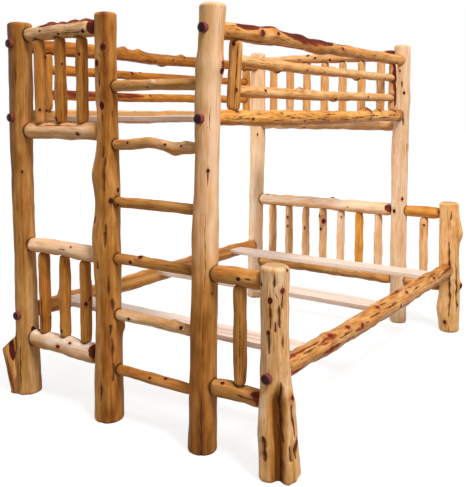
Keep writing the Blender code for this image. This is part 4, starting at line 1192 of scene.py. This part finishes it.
class Cedar(Finish):
    """Peeled and varnished cedar: streaked sapwood, red heartwood, knots, checks, sockets and end grain."""

    def __init__(self, name):
        super().__init__(name)
        self.wood = self.carried("wood", "Vector")
        self.fibre, self.grain, self.mottle, self.patches = (
            self.noise(self.wood, *kind) for kind in (FIBRE, GRAIN, MOTTLE, PATCHES)
        )

    def sapwood(self, fibre_contrast):
        """Streaks on the log's own tone, with a blush, brown blotches, dark lines and dashes."""
        pale, golden, streaked = self.split(self.carried("tone", "Vector"))
        swing = streaked * STREAKED_SWING + PLAIN_SWING
        # The carried patches darken the tone for stains and painted shade, and pale it for painted light.
        stain = self.carried("stain") * STAIN_AND_LIGHT_WEIGHT
        level = self.grain.around(1.0) * swing + self.noise(self.wood, *BROAD).around(BROAD_SWING)
        level = level + self.patches.around(PATCH_SWING) * swing - stain + pale
        colour = self.ramp(level * TONE_WEIGHT, SAPWOOD)
        colour = self.tint(golden, colour, GOLD_TINT, clamp_factor=False)
        blush, blotches, lines, dashes, clusters = (
            self.speckles(self.wood, *kind) for kind in (BLUSH, BLOTCHES, LINES, DASHES, CLUSTERS)
        )
        colour = self.tint(blush, colour, PINK_TINT)
        colour = self.tint(blotches * streaked * BLOTCH_SHARE, colour, BLOTCH_TINT)
        colour = self.tint(lines, colour, LINE_TINT)
        dashes = self.math("MULTIPLY", dashes, clusters * streaked, clamp=True)
        colour = self.blend(dashes, colour, DASH_BROWN)
        return self.scaled(colour, self.fibre.around(fibre_contrast) + 1.0)

    def heartwood(self, colour):
        """Bared heartwood with a ragged edge, and where it is; at rail ends next to a post it is partly
        painted shadow.
        """
        coarse, middling, fine = HEART_FRAYS
        ragged = self.grain.around(middling) + self.fibre.around(fine)
        heart_and_end_shadow = self.carried("heart_and_end_shadow") + (self.patches.around(coarse) + ragged)
        bared = heart_and_end_shadow.step(*HEART_FADE)
        return self.blend(bared, colour, self.ramp(heart_and_end_shadow, HEARTWOOD)), bared

    def knots(self, colour):
        """Knots with a halo, a tail and a dark core, where the cores are, and their rings."""
        across, along, red = self.split(self.carried("knot", "Vector"))
        near = self.carried("knot_near")
        distance = self.length(self.add("ShaderNodeCombineXYZ", {"X": across, "Y": along}))
        distance = distance + self.mottle.around(KNOT_FRAY)
        halo = near * distance.step(*HALO_FADE) * (red * (1 - HALO_LEAST) + HALO_LEAST)
        colour = self.blend(halo, colour, self.blend(red, KNOT_HALO, KNOT_STAIN))
        tail = abs(across).step(*TAIL_ACROSS) * abs(along).step(*TAIL_ALONG)
        colour = self.blend(near * (tail * self.mottle.step(*TAIL_BREAKS)), colour, DASH_BROWN)
        core = near * distance.step(*CORE_FADE)
        rings = self.math("SINE", distance * KNOT_RINGS)
        body = self.blend(red, KNOT_BROWN, KNOT_RED)
        body = self.blend(rings.step(*CORE_RINGS), body, KNOT_DARK)
        body = self.blend(distance.step(*CORE_MIDDLE), body, KNOT_DARK)
        return self.blend(core, colour, body), core, rings

    def cracks(self, colour):
        """Dark cracks with ragged brown edges, painted shade round sockets, and where the cracks are."""
        coarse, fine = CRACK_FRAYS
        ragged = self.mottle.around(coarse) + self.noise(self.wood, *CRACK_EDGES).around(fine)
        offset = abs(self.carried("check")) + ragged
        near = self.carried("check_near")
        crack = near * offset.step(*CRACK_FADE)
        colour = self.blend(near * offset.step(*CRACK_EDGE_FADE), colour, CHECK_EDGE)
        colour = self.blend(crack, colour, CHECK_DARK)
        # Painted shade on the rim round each socket.
        return self.blend(self.carried("socket") * SOCKET_SHADE, colour, SOCKET_SHADOW), crack

    def cut_faces(self, colour):
        """Sawn ledges, and yearly rings on end grain."""
        sawn = self.blend(self.grain, SAWN_DARK, SAWN_PALE)
        colour = self.blend(self.carried("sawn") * SAWN_SHARE, colour, sawn)
        rings = self.carried("pith") * YEAR_RINGS + self.mottle * YEAR_WAVER
        yearly = self.math("SINE", rings).step(*YEAR_FADE)
        return self.blend(self.carried("end_grain"), colour, self.blend(yearly, END_DARK, END_PALE))


def peeled_cedar(name, roughness, fibre_contrast):
    """The finish of one kind of log."""
    g = Cedar(name)
    colour, bared = g.heartwood(g.sapwood(fibre_contrast))
    colour, core, rings = g.knots(colour)
    colour, crack = g.cracks(colour)
    dull = g.math("MAXIMUM", g.math("MAXIMUM", core, crack), bared)
    polish = g.fibre.around(POLISH_SWING) + (dull * DULLNESS + roughness)
    height = g.fibre * FIBRE_HEIGHT + g.grain * GRAIN_HEIGHT
    height = height - crack * CRACK_HEIGHT + core * (rings * RING_HEIGHT)
    colour = g.cut_faces(colour)
    gloss = {"Specular IOR Level": WOOD_GLOSS}
    return g.done(g.surface(colour, polish, gloss, (height, *WOOD_RELIEF)))


def sawn_board():
    """Bare sawn board: straight grain, saw lines across it, faint red heart streaks, and side faces darker,
    partly sawn-edge colour and partly painted shade.
    """
    g = Finish("sawn_slat")
    place = g.place()
    grain = g.noise(place, *BOARD_GRAIN)
    fibre = g.noise(place, *BOARD_FIBRE)
    colour = g.ramp(grain, BOARD)
    colour = g.blend(g.speckles(place, *BOARD_HEARTS), colour, BOARD_HEART)
    # Side faces tinted darker: partly sawn-edge colour, partly painted shade.
    colour = g.tint(g.facing(2).step(*BOARD_EDGE_TONE_AND_SHADE_FADE), colour, BOARD_EDGE_TONE_AND_SHADE)
    colour = g.blend(g.speckles(place, *BOARD_FLECKS), colour, BOARD_FLECK)
    colour = g.blend(fibre * BOARD_BROWNING, colour, BOARD_BROWN)
    saw_lines = g.math("SINE", g.split(place)[0] * SAW_LINES)
    height = saw_lines * SAW_LINE_HEIGHT + (grain + fibre * BOARD_FIBRE_HEIGHT)
    return g.done(g.surface(colour, fibre.about(*BOARD_ROUGHNESS), relief=(height, *BOARD_RELIEF)))


def turned_heartwood():
    """Oiled red heartwood, turned on a lathe: dark end-grain rings and fine streaks."""
    g = Finish("heartwood_knob")
    place = g.place()
    streak = g.noise(place, *KNOB_STREAKS)
    side, face = g.ramp(streak, KNOB_SIDE), g.ramp(g.noise(place, *KNOB_CLOUDS), KNOB_FACE)
    colour = g.blend(g.facing(1).step(*KNOB_FACE_FADE), side, face)
    gloss = {"Specular IOR Level": KNOB_GLOSS}
    return g.done(g.surface(colour, streak.about(*KNOB_ROUGHNESS), gloss, (streak, *KNOB_RELIEF)))


def screw_steel():
    """Zinc-plated steel with a slight tarnish."""
    g = Finish("screw_steel")
    tarnish = g.noise(g.place(), *TARNISH)
    colour = g.blend(tarnish, STEEL_DARK, STEEL_PALE)
    return g.done(g.surface(colour, tarnish.about(*STEEL_ROUGHNESS), {"Metallic": 1.0}))


def new_tree(name, sockets, result):
    """The nodes of a new tree with named inputs and one resulting shape, and its inputs."""
    tree = bpy.data.node_groups.new(name, "GeometryNodeTree")
    for label, kind in sockets.items():
        tree.interface.new_socket(label, in_out="INPUT", socket_type=f"NodeSocket{kind}")
    tree.interface.new_socket(result, in_out="OUTPUT", socket_type="NodeSocketGeometry")
    g = Graph(tree)
    outputs = g.node("NodeGroupInput").outputs
    return g, {label: Signal(g, outputs[label]) for label in sockets}


def end_tree(g, shape, finish):
    """The tree, ended with a plain mesh that has its finish."""
    whole = g.add("GeometryNodeRealizeInstances", {"Geometry": shape})
    finished = g.add("GeometryNodeSetMaterial", {"Geometry": whole, "Material": finish})
    g.node("NodeGroupOutput", {0: finished})
    return g.tree


def drawknife_tree():
    """Node tree that works a skin with swells, drawknife facets and raised fibres, except on cut faces."""
    depths = dict.fromkeys(("Swell depth", "Facet depth", "Fibre depth"), "Float")
    g, inputs = new_tree("drawknife_skin", {"Log": "Geometry", **depths, "Finish": "Material"}, "Log")

    def carried(key, kind="FLOAT"):
        return g.add("GeometryNodeInputNamedAttribute", {"Name": key}, "Attribute", data_type=kind)

    wood = carried("wood", "FLOAT_VECTOR")
    cells = {"Vector": g.stretched(wood, SKIN_FACETS), "Scale": 1.0, "Smoothness": FACET_SMOOTHNESS}
    facet = g.add("ShaderNodeTexVoronoi", cells, "Distance", feature="SMOOTH_F1")
    facet = facet.around(inputs["Facet depth"])
    swell = g.noise(wood, *SKIN_SWELLS).around(inputs["Swell depth"])
    fibre = g.noise(wood, *SKIN_FIBRES).around(inputs["Fibre depth"])
    cut = g.math("MAXIMUM", carried("end_grain"), carried("sawn"))
    depth = (swell + (facet + fibre)) * (1.0 - cut)
    offset = g.scaled(g.add("GeometryNodeInputNormal", output="Normal"), depth)
    worked = g.add("GeometryNodeSetPosition", {"Geometry": inputs["Log"], "Offset": offset})
    return end_tree(g, worked, inputs["Finish"])


def screw_tree():
    """Node tree that sets a copy of a screw head on every point, turned by a seed."""
    sockets = {"Places": "Geometry", "Screw": "Object", "Seed": "Int", "Finish": "Material"}
    g, inputs = new_tree("slat_screws", sockets, "Screws")
    turn = g.add("FunctionNodeRandomValue", {3: math.pi, "Seed": inputs["Seed"]}, 1, data_type="FLOAT")
    copies = g.add("GeometryNodeInstanceOnPoints", {
        "Points": g.add("GeometryNodeMeshToPoints", {"Mesh": inputs["Places"]}),
        "Instance": g.add("GeometryNodeObjectInfo", {"Object": inputs["Screw"]}, "Geometry"),
        "Rotation": g.add("ShaderNodeCombineXYZ", {"Z": turn}),
    })
    return end_tree(g, copies, inputs["Finish"])


def run_tree(item, tree, values):
    """Run a node tree on an object and keep the result as its plain mesh."""
    modifier = item.modifiers.new(tree.name, "NODES")
    modifier.node_group = tree
    for socket in tree.interface.items_tree:
        if socket.in_out == "INPUT" and socket.name in values:
            modifier[socket.identifier] = values[socket.name]
    graph = bpy.context.evaluated_depsgraph_get()
    made = bpy.data.meshes.new_from_object(item.evaluated_get(graph), depsgraph=graph)
    item.modifiers.clear()
    old = item.data
    item.data = made
    bpy.data.meshes.remove(old)


def settle(piece, slot, *nodes):
    """Fix a piece to the bed, in the place of its CAD nodes."""
    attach(piece, "root")
    if nodes:
        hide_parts(*nodes)


def axis_of(node):
    """The direction that a log runs in."""
    low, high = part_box(node)
    return int(np.argmax(high - low))


def tone_of(name):
    """The tone of a log, from its own name or its group's, with a little of its own."""
    key = max((key for key in TONES if name.startswith(key)), key=len)
    own = random_for(name, TONE_SEED).uniform(-1, 1, 3) * TONE_SPREAD
    return np.array(TONES[key]) + (0.0 if key == name else own)


def comb_spines(node):
    """The rail of a comb and its spindles, each measured by itself."""
    low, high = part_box(node)
    spines = {node: measure(node, 0, True, window=[(2, -math.inf, low.z + COMB_RAIL_TOP)])}
    corners = cad_edges(node).reshape(-1, 3)
    tips = np.unique(corners[corners[:, 2] > high.z - COMB_TIP_DEPTH][:, 0].round(3))
    groups = np.split(tips, np.where(np.diff(tips) > COMB_SPINDLE_REACH)[0] + 1)
    for number, group in enumerate(groups, 1):
        left, right = group.mean() - COMB_SPINDLE_REACH, group.mean() + COMB_SPINDLE_REACH
        window = [(0, left, right), (2, low.z + COMB_SPINDLE_FOOT, math.inf)]
        spines[node.replace("_spindle_rail", f"_spindle_{number}")] = measure(node, 2, True, window)
    return spines


def measure_logs(slots, knob_heights):
    """The spine of every log, by name, and the CAD node that each one is in."""
    spines = {}
    homes = {}
    for node in slots:
        if node.startswith("knob_bolt") or "_slat_" in node:
            continue
        if node.endswith("_spindle_rail"):
            found = comb_spines(node)
        elif node.startswith("post_"):
            skip = [*knob_heights, *STUB_HEIGHTS] if node == "post_head_short" else knob_heights
            found = {node: measure(node, 2, False, skip=skip, trim=node == "post_ladder_wall")}
        else:
            found = {node: measure(node, axis_of(node), True)}
        spines.update(found)
        homes.update(dict.fromkeys(found, node))
    return spines, homes


def find_sockets(spines):
    """For every log, the places where other logs' tenons enter it: (along, angle, radius)."""
    sockets = {name: [] for name in spines}
    for name, spine in spines.items():
        if name.startswith("post_"):
            continue
        for along in (spine.start - NOSE_LENGTH / 2, spine.end + NOSE_LENGTH / 2):
            centre, radius = spine.at(along)
            tip = np.empty(3)
            tip[spine.axis] = along
            tip[ACROSS[spine.axis]] = centre
            hosts = []
            for host, other in spines.items():
                place = tip[other.axis]
                beside = other.start - SOCKET_SEARCH < place < other.end + SOCKET_SEARCH
                if other.axis == spine.axis or not beside:
                    continue
                middle, thickness = other.at(place)
                first, second = tip[ACROSS[other.axis]] - middle
                angle = math.degrees(math.atan2(second, first))
                hosts.append((math.hypot(first, second) - thickness, host, place, angle))
            _, host, place, angle = min(hosts)
            sockets[host].append((place, angle, radius * NOSE_SHARE + SOCKET_GAP))
    return sockets


def find_ledges(spines):
    """The ledges of the four side rails, from the ends of the slats that lie on them."""
    ledges = {}
    for bunk in ("lower", "upper"):
        low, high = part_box(f"{bunk}_slat_1")
        for side, wall, inward in (("wall", low.x, 1), ("open", high.x, -1)):
            name = f"{bunk}_side_rail_{side}"
            start, end = spines[name].start + LEDGE_MARGIN, spines[name].end - LEDGE_MARGIN
            ledges[name] = Ledge(wall, low.z, inward, start, end)
    return ledges


def make_log(name, spine, sockets, ledge, tree, finish):
    """One peeled log, worked by the drawknife tree."""
    thick = spine.radius.mean()
    tone = tone_of(name)
    if name.startswith("post_"):
        lobes, knots, swell = POST_SKIN
        surface = LogSurface(name, spine, post_rings(spine, POST_TOP_DROPS.get(name, 0.0)), POST_SIDES)
    else:
        lobes, knots, swell = RAIL_SKIN
        sides = RAIL_SIDES if thick > POLE_LIMIT else POLE_SIDES
        surface = LogSurface(name, spine, nose_rings(spine), sides)
    surface.add_lobes(lobes)
    count = round((spine.end - spine.start) * (PLAIN_KNOTS + knots * tone[2]))
    surface.add_marks(surface.scatter_knots(count, thick))
    surface.sink_sockets(sockets)
    piece = surface.build(tone, ledge)
    depths = {"Swell depth": thick * swell, "Facet depth": thick * FACET_SHARE, "Fibre depth": FIBRE_DEPTH}
    run_tree(piece, tree, {**depths, "Finish": finish})
    return piece


def make_spur(post_spine, tree, finish):
    """The sawn-off root that stands out from the wall post's foot."""
    outward = np.array(SPUR_DIRECTION)
    corners = cad_edges("post_ladder_wall").reshape(-1, 3)
    foot = corners[corners[:, 2] < SPUR_HEIGHT]
    reach = ((foot[:, :2] - post_spine.centre[0]) @ outward).max()
    heights = np.linspace(0, SPUR_HEIGHT, SPUR_RINGS)
    lean = np.interp(heights, (0, SPUR_HEIGHT), (-SPUR_LEAN, 0))
    centre = post_spine.centre[0] + outward * (reach + SPUR_BEYOND - SPUR_RADIUS + lean)[:, None]
    spine = Spine(2, heights, centre, np.full(SPUR_RINGS, SPUR_RADIUS), 0.0, SPUR_HEIGHT)
    shares = np.interp(heights / SPUR_HEIGHT, *zip(*SPUR_SHAPE))
    rings = [*SPUR_FOOT, *((height, share, 0.0) for height, share in zip(heights[1:], shares[1:]))]
    rings += [(SPUR_HEIGHT + SPUR_CROWN, share, 1.0) for share in SPUR_TOP_SHARES]
    surface = LogSurface(SPUR_NAME, spine, np.array(rings), RAIL_SIDES)
    surface.add_lobes(SPUR_LOBES)
    surface.add_marks()
    piece = surface.build(tone_of(SPUR_NAME))
    for vertex in piece.data.vertices:
        inward = -(vertex.co.x - centre[-1, 0]) * outward[0] - (vertex.co.y - centre[-1, 1]) * outward[1]
        vertex.co.z += SPUR_SLANT * inward * (vertex.co.z / SPUR_HEIGHT) ** 2
    run_tree(piece, tree, {**SPUR_DEPTHS, "Finish": finish})
    return piece


def make_knob(name, tip, outward, finish):
    """A turned plug along Y: shank, collar, straight side, eased edge and a slightly domed face."""
    profile = [(height * KNOB_HEIGHT - KNOB_HEIGHT, share * KNOB_RADIUS) for height, share in KNOB_SHAPE]
    distance, radius = np.array([*KNOB_SHANK, *profile]).T[:, :, None]
    angle = -np.arange(KNOB_SIDES) * 2 * math.pi / KNOB_SIDES
    x = tip[0] + radius * np.cos(angle)
    y = tip[1] + outward * distance
    z = tip[2] + radius * np.sin(angle) * outward
    knob = add_object(name, grid_mesh(name, np.stack(np.broadcast_arrays(x, y, z), axis=-1)))
    knob.data.materials.append(finish)
    return knob


def make_turned_parts(knobs, slots, spines):
    """The knobs at the ladder end, and the plugs at the head end of the same rails."""
    heartwood = turned_heartwood()
    for node in knobs:
        low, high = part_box(node)
        middle = (low + high) / 2
        knob = make_knob(f"{node}_turned", (middle.x, low.y, middle.z), -1, heartwood)
        settle(knob, slots[node], node)
        rail = node.replace("knob_bolt_guard", "guard_top_rail")
        for bunk in ("upper", "lower"):
            rail = rail.replace(f"knob_bolt_{bunk}", f"{bunk}_side_rail")
        z, x = spines[rail].centre[-1]
        posts = ("post_head_wall", "post_head_outer", "post_head_short")
        post = min(posts, key=lambda name: abs(spines[name].centre[0, 0] - x))
        if rail == "lower_side_rail_open":
            post = "post_head_short"
        tip_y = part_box(post)[1].y
        plug = make_knob(node.replace("knob_bolt", "head_plug"), (x, tip_y, z), 1, heartwood)
        settle(plug, slots[node], post)


def board_outline(half_width, half_thick):
    """Cross section of a sawn board with eased edges, in even steps round it."""
    section = []
    for side_y, side_z, turn in ((1, 1, 0), (-1, 1, 90), (-1, -1, 180), (1, -1, 270)):
        for angle in SLAT_CORNER_TURNS + math.radians(turn):
            y = side_y * (half_width - SLAT_EDGE) + SLAT_EDGE * math.cos(angle)
            section.append((y, side_z * (half_thick - SLAT_EDGE) + SLAT_EDGE * math.sin(angle)))
    closed = np.array([*section, section[0]])
    length = np.concatenate([[0], np.cumsum(np.hypot(*np.diff(closed, axis=0).T))])
    even = np.linspace(0, length[-1], SLAT_OUTLINE_POINTS, endpoint=False)
    steps = np.unique(np.concatenate([length[:-1], even]))
    return [np.interp(steps, length, line) for line in closed.T]


def make_slat(node, tree, finish):
    """A sawn board with eased, slightly uneven edges."""
    low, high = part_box(node)
    middle = (low + high) / 2
    across, upward = board_outline((high.y - low.y) / 2, (high.z - low.z) / 2)
    ends = [low.x, low.x + SLAT_END_EASE], [high.x - SLAT_END_EASE, high.x]
    along = np.arange(low.x + SLAT_STEP, high.x - SLAT_STEP, SLAT_STEP)
    along = np.concatenate([ends[0], along, ends[1]])[:, None]
    share = np.ones_like(along)
    share[[0, -1]] = SLAT_END_SHARE
    random = random_for(node)
    phases = random.uniform(0, SLAT_PHASE, len(SLAT_WAVES))
    bow, wave, ripple = (
        depth * np.sin(along * turn + phase) for (depth, turn), phase in zip(SLAT_WAVES, phases)
    )
    y = middle.y + across * share + (wave + ripple)
    z = middle.z + upward * share + bow
    places = np.stack(np.broadcast_arrays(along, y, z), axis=-1)
    mesh = grid_mesh(node, places)
    mesh.set_sharp_from_angle(angle=SLAT_SHARP)
    store(mesh, "wood", places[..., [1, 2, 0]] + random.uniform(0, WOOD_SHIFT, 3))
    for key in ("end_grain", "sawn"):
        store(mesh, key, np.zeros(y.shape))
    board = add_object(f"{node}_board", mesh)
    run_tree(board, tree, {**SLAT_DEPTHS, "Finish": finish})
    return board


def screw_head():
    """A countersunk screw head with a cross recess, face up, as a shape to copy."""
    angles = np.arange(SCREW_SIDES) * 2 * math.pi / SCREW_SIDES
    share, level = np.array(SCREW_RINGS).T[:, :, None]
    x, y = SCREW_RADIUS * share * np.cos(angles), SCREW_RADIUS * share * np.sin(angles)
    arm = np.minimum(np.abs(x), np.abs(y)) < RECESS_ARM * SCREW_RADIUS
    arm &= np.hypot(x, y) < RECESS_REACH * SCREW_RADIUS
    z = level - np.where(arm, RECESS_DEPTH, 0.0)
    return add_object("screw_head", grid_mesh("screw_head", np.stack([x, y, z], axis=-1), flat=True))


def make_screws(bunk, head, tree, finish):
    """Two screws through each end of a bunk's slats."""
    places = []
    for number in SLAT_NUMBERS:
        low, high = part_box(f"{bunk}_slat_{number}")
        for x in (low.x + SCREW_INSET, high.x - SCREW_INSET):
            for y in (low.y + SCREW_MARGIN, high.y - SCREW_MARGIN):
                places.append((x, y, high.z))
    mesh = bpy.data.meshes.new(f"{bunk}_slat_screws")
    mesh.from_pydata(places, [], [])
    screws = add_object(f"{bunk}_slat_screws", mesh)
    run_tree(screws, tree, {"Screw": head, "Seed": SCREW_SEED, "Finish": finish})
    return screws


def make_floor():
    """A wide pale floor that keeps the bed's shadow."""
    mesh = bpy.data.meshes.new("floor")
    corners = [(FLOOR_HALF * x, FLOOR_HALF * y, 0) for x, y in ((-1, -1), (1, -1), (1, 1), (-1, 1))]
    mesh.from_pydata(corners, [], [(0, 1, 2, 3)])
    g = Finish("studio_floor")
    place = g.place()
    colour = g.blend(g.noise(place, *FLOOR_CLOUDS), [FLOOR_GREY] * 3, [FLOOR_GREY + FLOOR_CLOUD] * 3)
    matt = g.surface(colour, FLOOR_ROUGHNESS, {"Specular IOR Level": FLOOR_GLOSS})
    near_glow, far_glow = FLOOR_GLOW
    glow = g.length(place).step(*FLOOR_FADE, far_glow - near_glow) + near_glow
    lit = g.add("ShaderNodeAddShader", {0: matt, 1: g.add("ShaderNodeEmission", {"Strength": glow})})
    mixed = g.add("ShaderNodeMixShader", {0: g.background_rays(), 1: matt, 2: lit})
    mesh.materials.append(g.done(mixed))
    floor = add_object("floor", mesh)


def light_studio():
    """A white surround, a soft key lamp at the right front, and weaker lamps overhead and at the left."""
    world = bpy.data.worlds.new("studio")
    world.use_nodes = True
    bpy.context.scene.world = world
    g = Graph(world.node_tree)
    surround = g.add("ShaderNodeBackground", {"Color": SURROUND_TINT, "Strength": SURROUND_LEVEL})
    white = g.add("ShaderNodeBackground", {"Color": WHITE, "Strength": 1.0})
    mixed = g.add("ShaderNodeMixShader", {0: g.background_rays(), 1: surround, 2: white})
    g.node("ShaderNodeOutputWorld", {"Surface": mixed})
    for name, place, aim, size, power, spread in LAMPS:
        data = bpy.data.lights.new(name, "AREA")
        data.shape = "DISK"
        data.size = size
        data.energy = power
        data.spread = math.radians(spread)
        lamp = add_object(name, data)
        lamp.location = place
        lamp.rotation_euler = (Vector(aim) - Vector(place)).to_track_quat("-Z", "Y").to_euler()


def set_camera():
    """The photo's viewpoint."""
    data = bpy.data.cameras.new("camera")
    data.lens = CAMERA_LENS
    data.sensor_width = CAMERA_SENSOR
    data.shift_y = CAMERA_SHIFT
    camera = add_object("camera", data)
    camera.location = CAMERA_PLACE
    camera.rotation_euler = [math.radians(angle) for angle in CAMERA_TURN]
    bpy.context.scene.camera = camera


def make_logs(slots, knobs, skin):
    """All the logs and the wall post's root, and the spines they follow."""
    finishes = {slot: peeled_cedar(slot, *look) for slot, look in CEDAR_LOOKS.items()}
    knob_heights = [sum(corner.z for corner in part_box(node)) / 2 for node in knobs]
    spines, homes = measure_logs(slots, knob_heights)
    sockets = find_sockets(spines)
    ledges = find_ledges(spines)
    for name, spine in spines.items():
        slot = slots.get(name, "peeled_cedar_spindle")
        piece = make_log(name, spine, sockets[name], ledges.get(name), skin, finishes[slot])
        piece.name = f"{name}_log"
        settle(piece, slot, homes[name])
    spur = make_spur(spines["post_ladder_wall"], skin, finishes["peeled_cedar_post"])
    settle(spur, "peeled_cedar_post", "post_ladder_wall")
    return spines


def make_bunks(slots, skin):
    """The slats of both bunks and their screws."""
    board_wood = sawn_board()
    steel = screw_steel()
    head = screw_head()
    screws = screw_tree()
    for bunk in ("lower", "upper"):
        for number in SLAT_NUMBERS:
            node = f"{bunk}_slat_{number}"
            settle(make_slat(node, skin, board_wood), slots[node], node)
        settle(make_screws(bunk, head, screws, steel), None)
    bpy.data.objects.remove(head)


def main():
    """Build every piece, then the studio."""
    slots = {row["node"]: row["material_slot"] for row in frame["record"]["subparts"]}
    knobs = [node for node in slots if node.startswith("knob_bolt")]
    skin = drawknife_tree()
    spines = make_logs(slots, knobs, skin)
    make_turned_parts(knobs, slots, spines)
    make_bunks(slots, skin)
    make_floor()
    light_studio()
    set_camera()
    scene = bpy.context.scene
    scene.view_settings.view_transform = "Standard"


main()
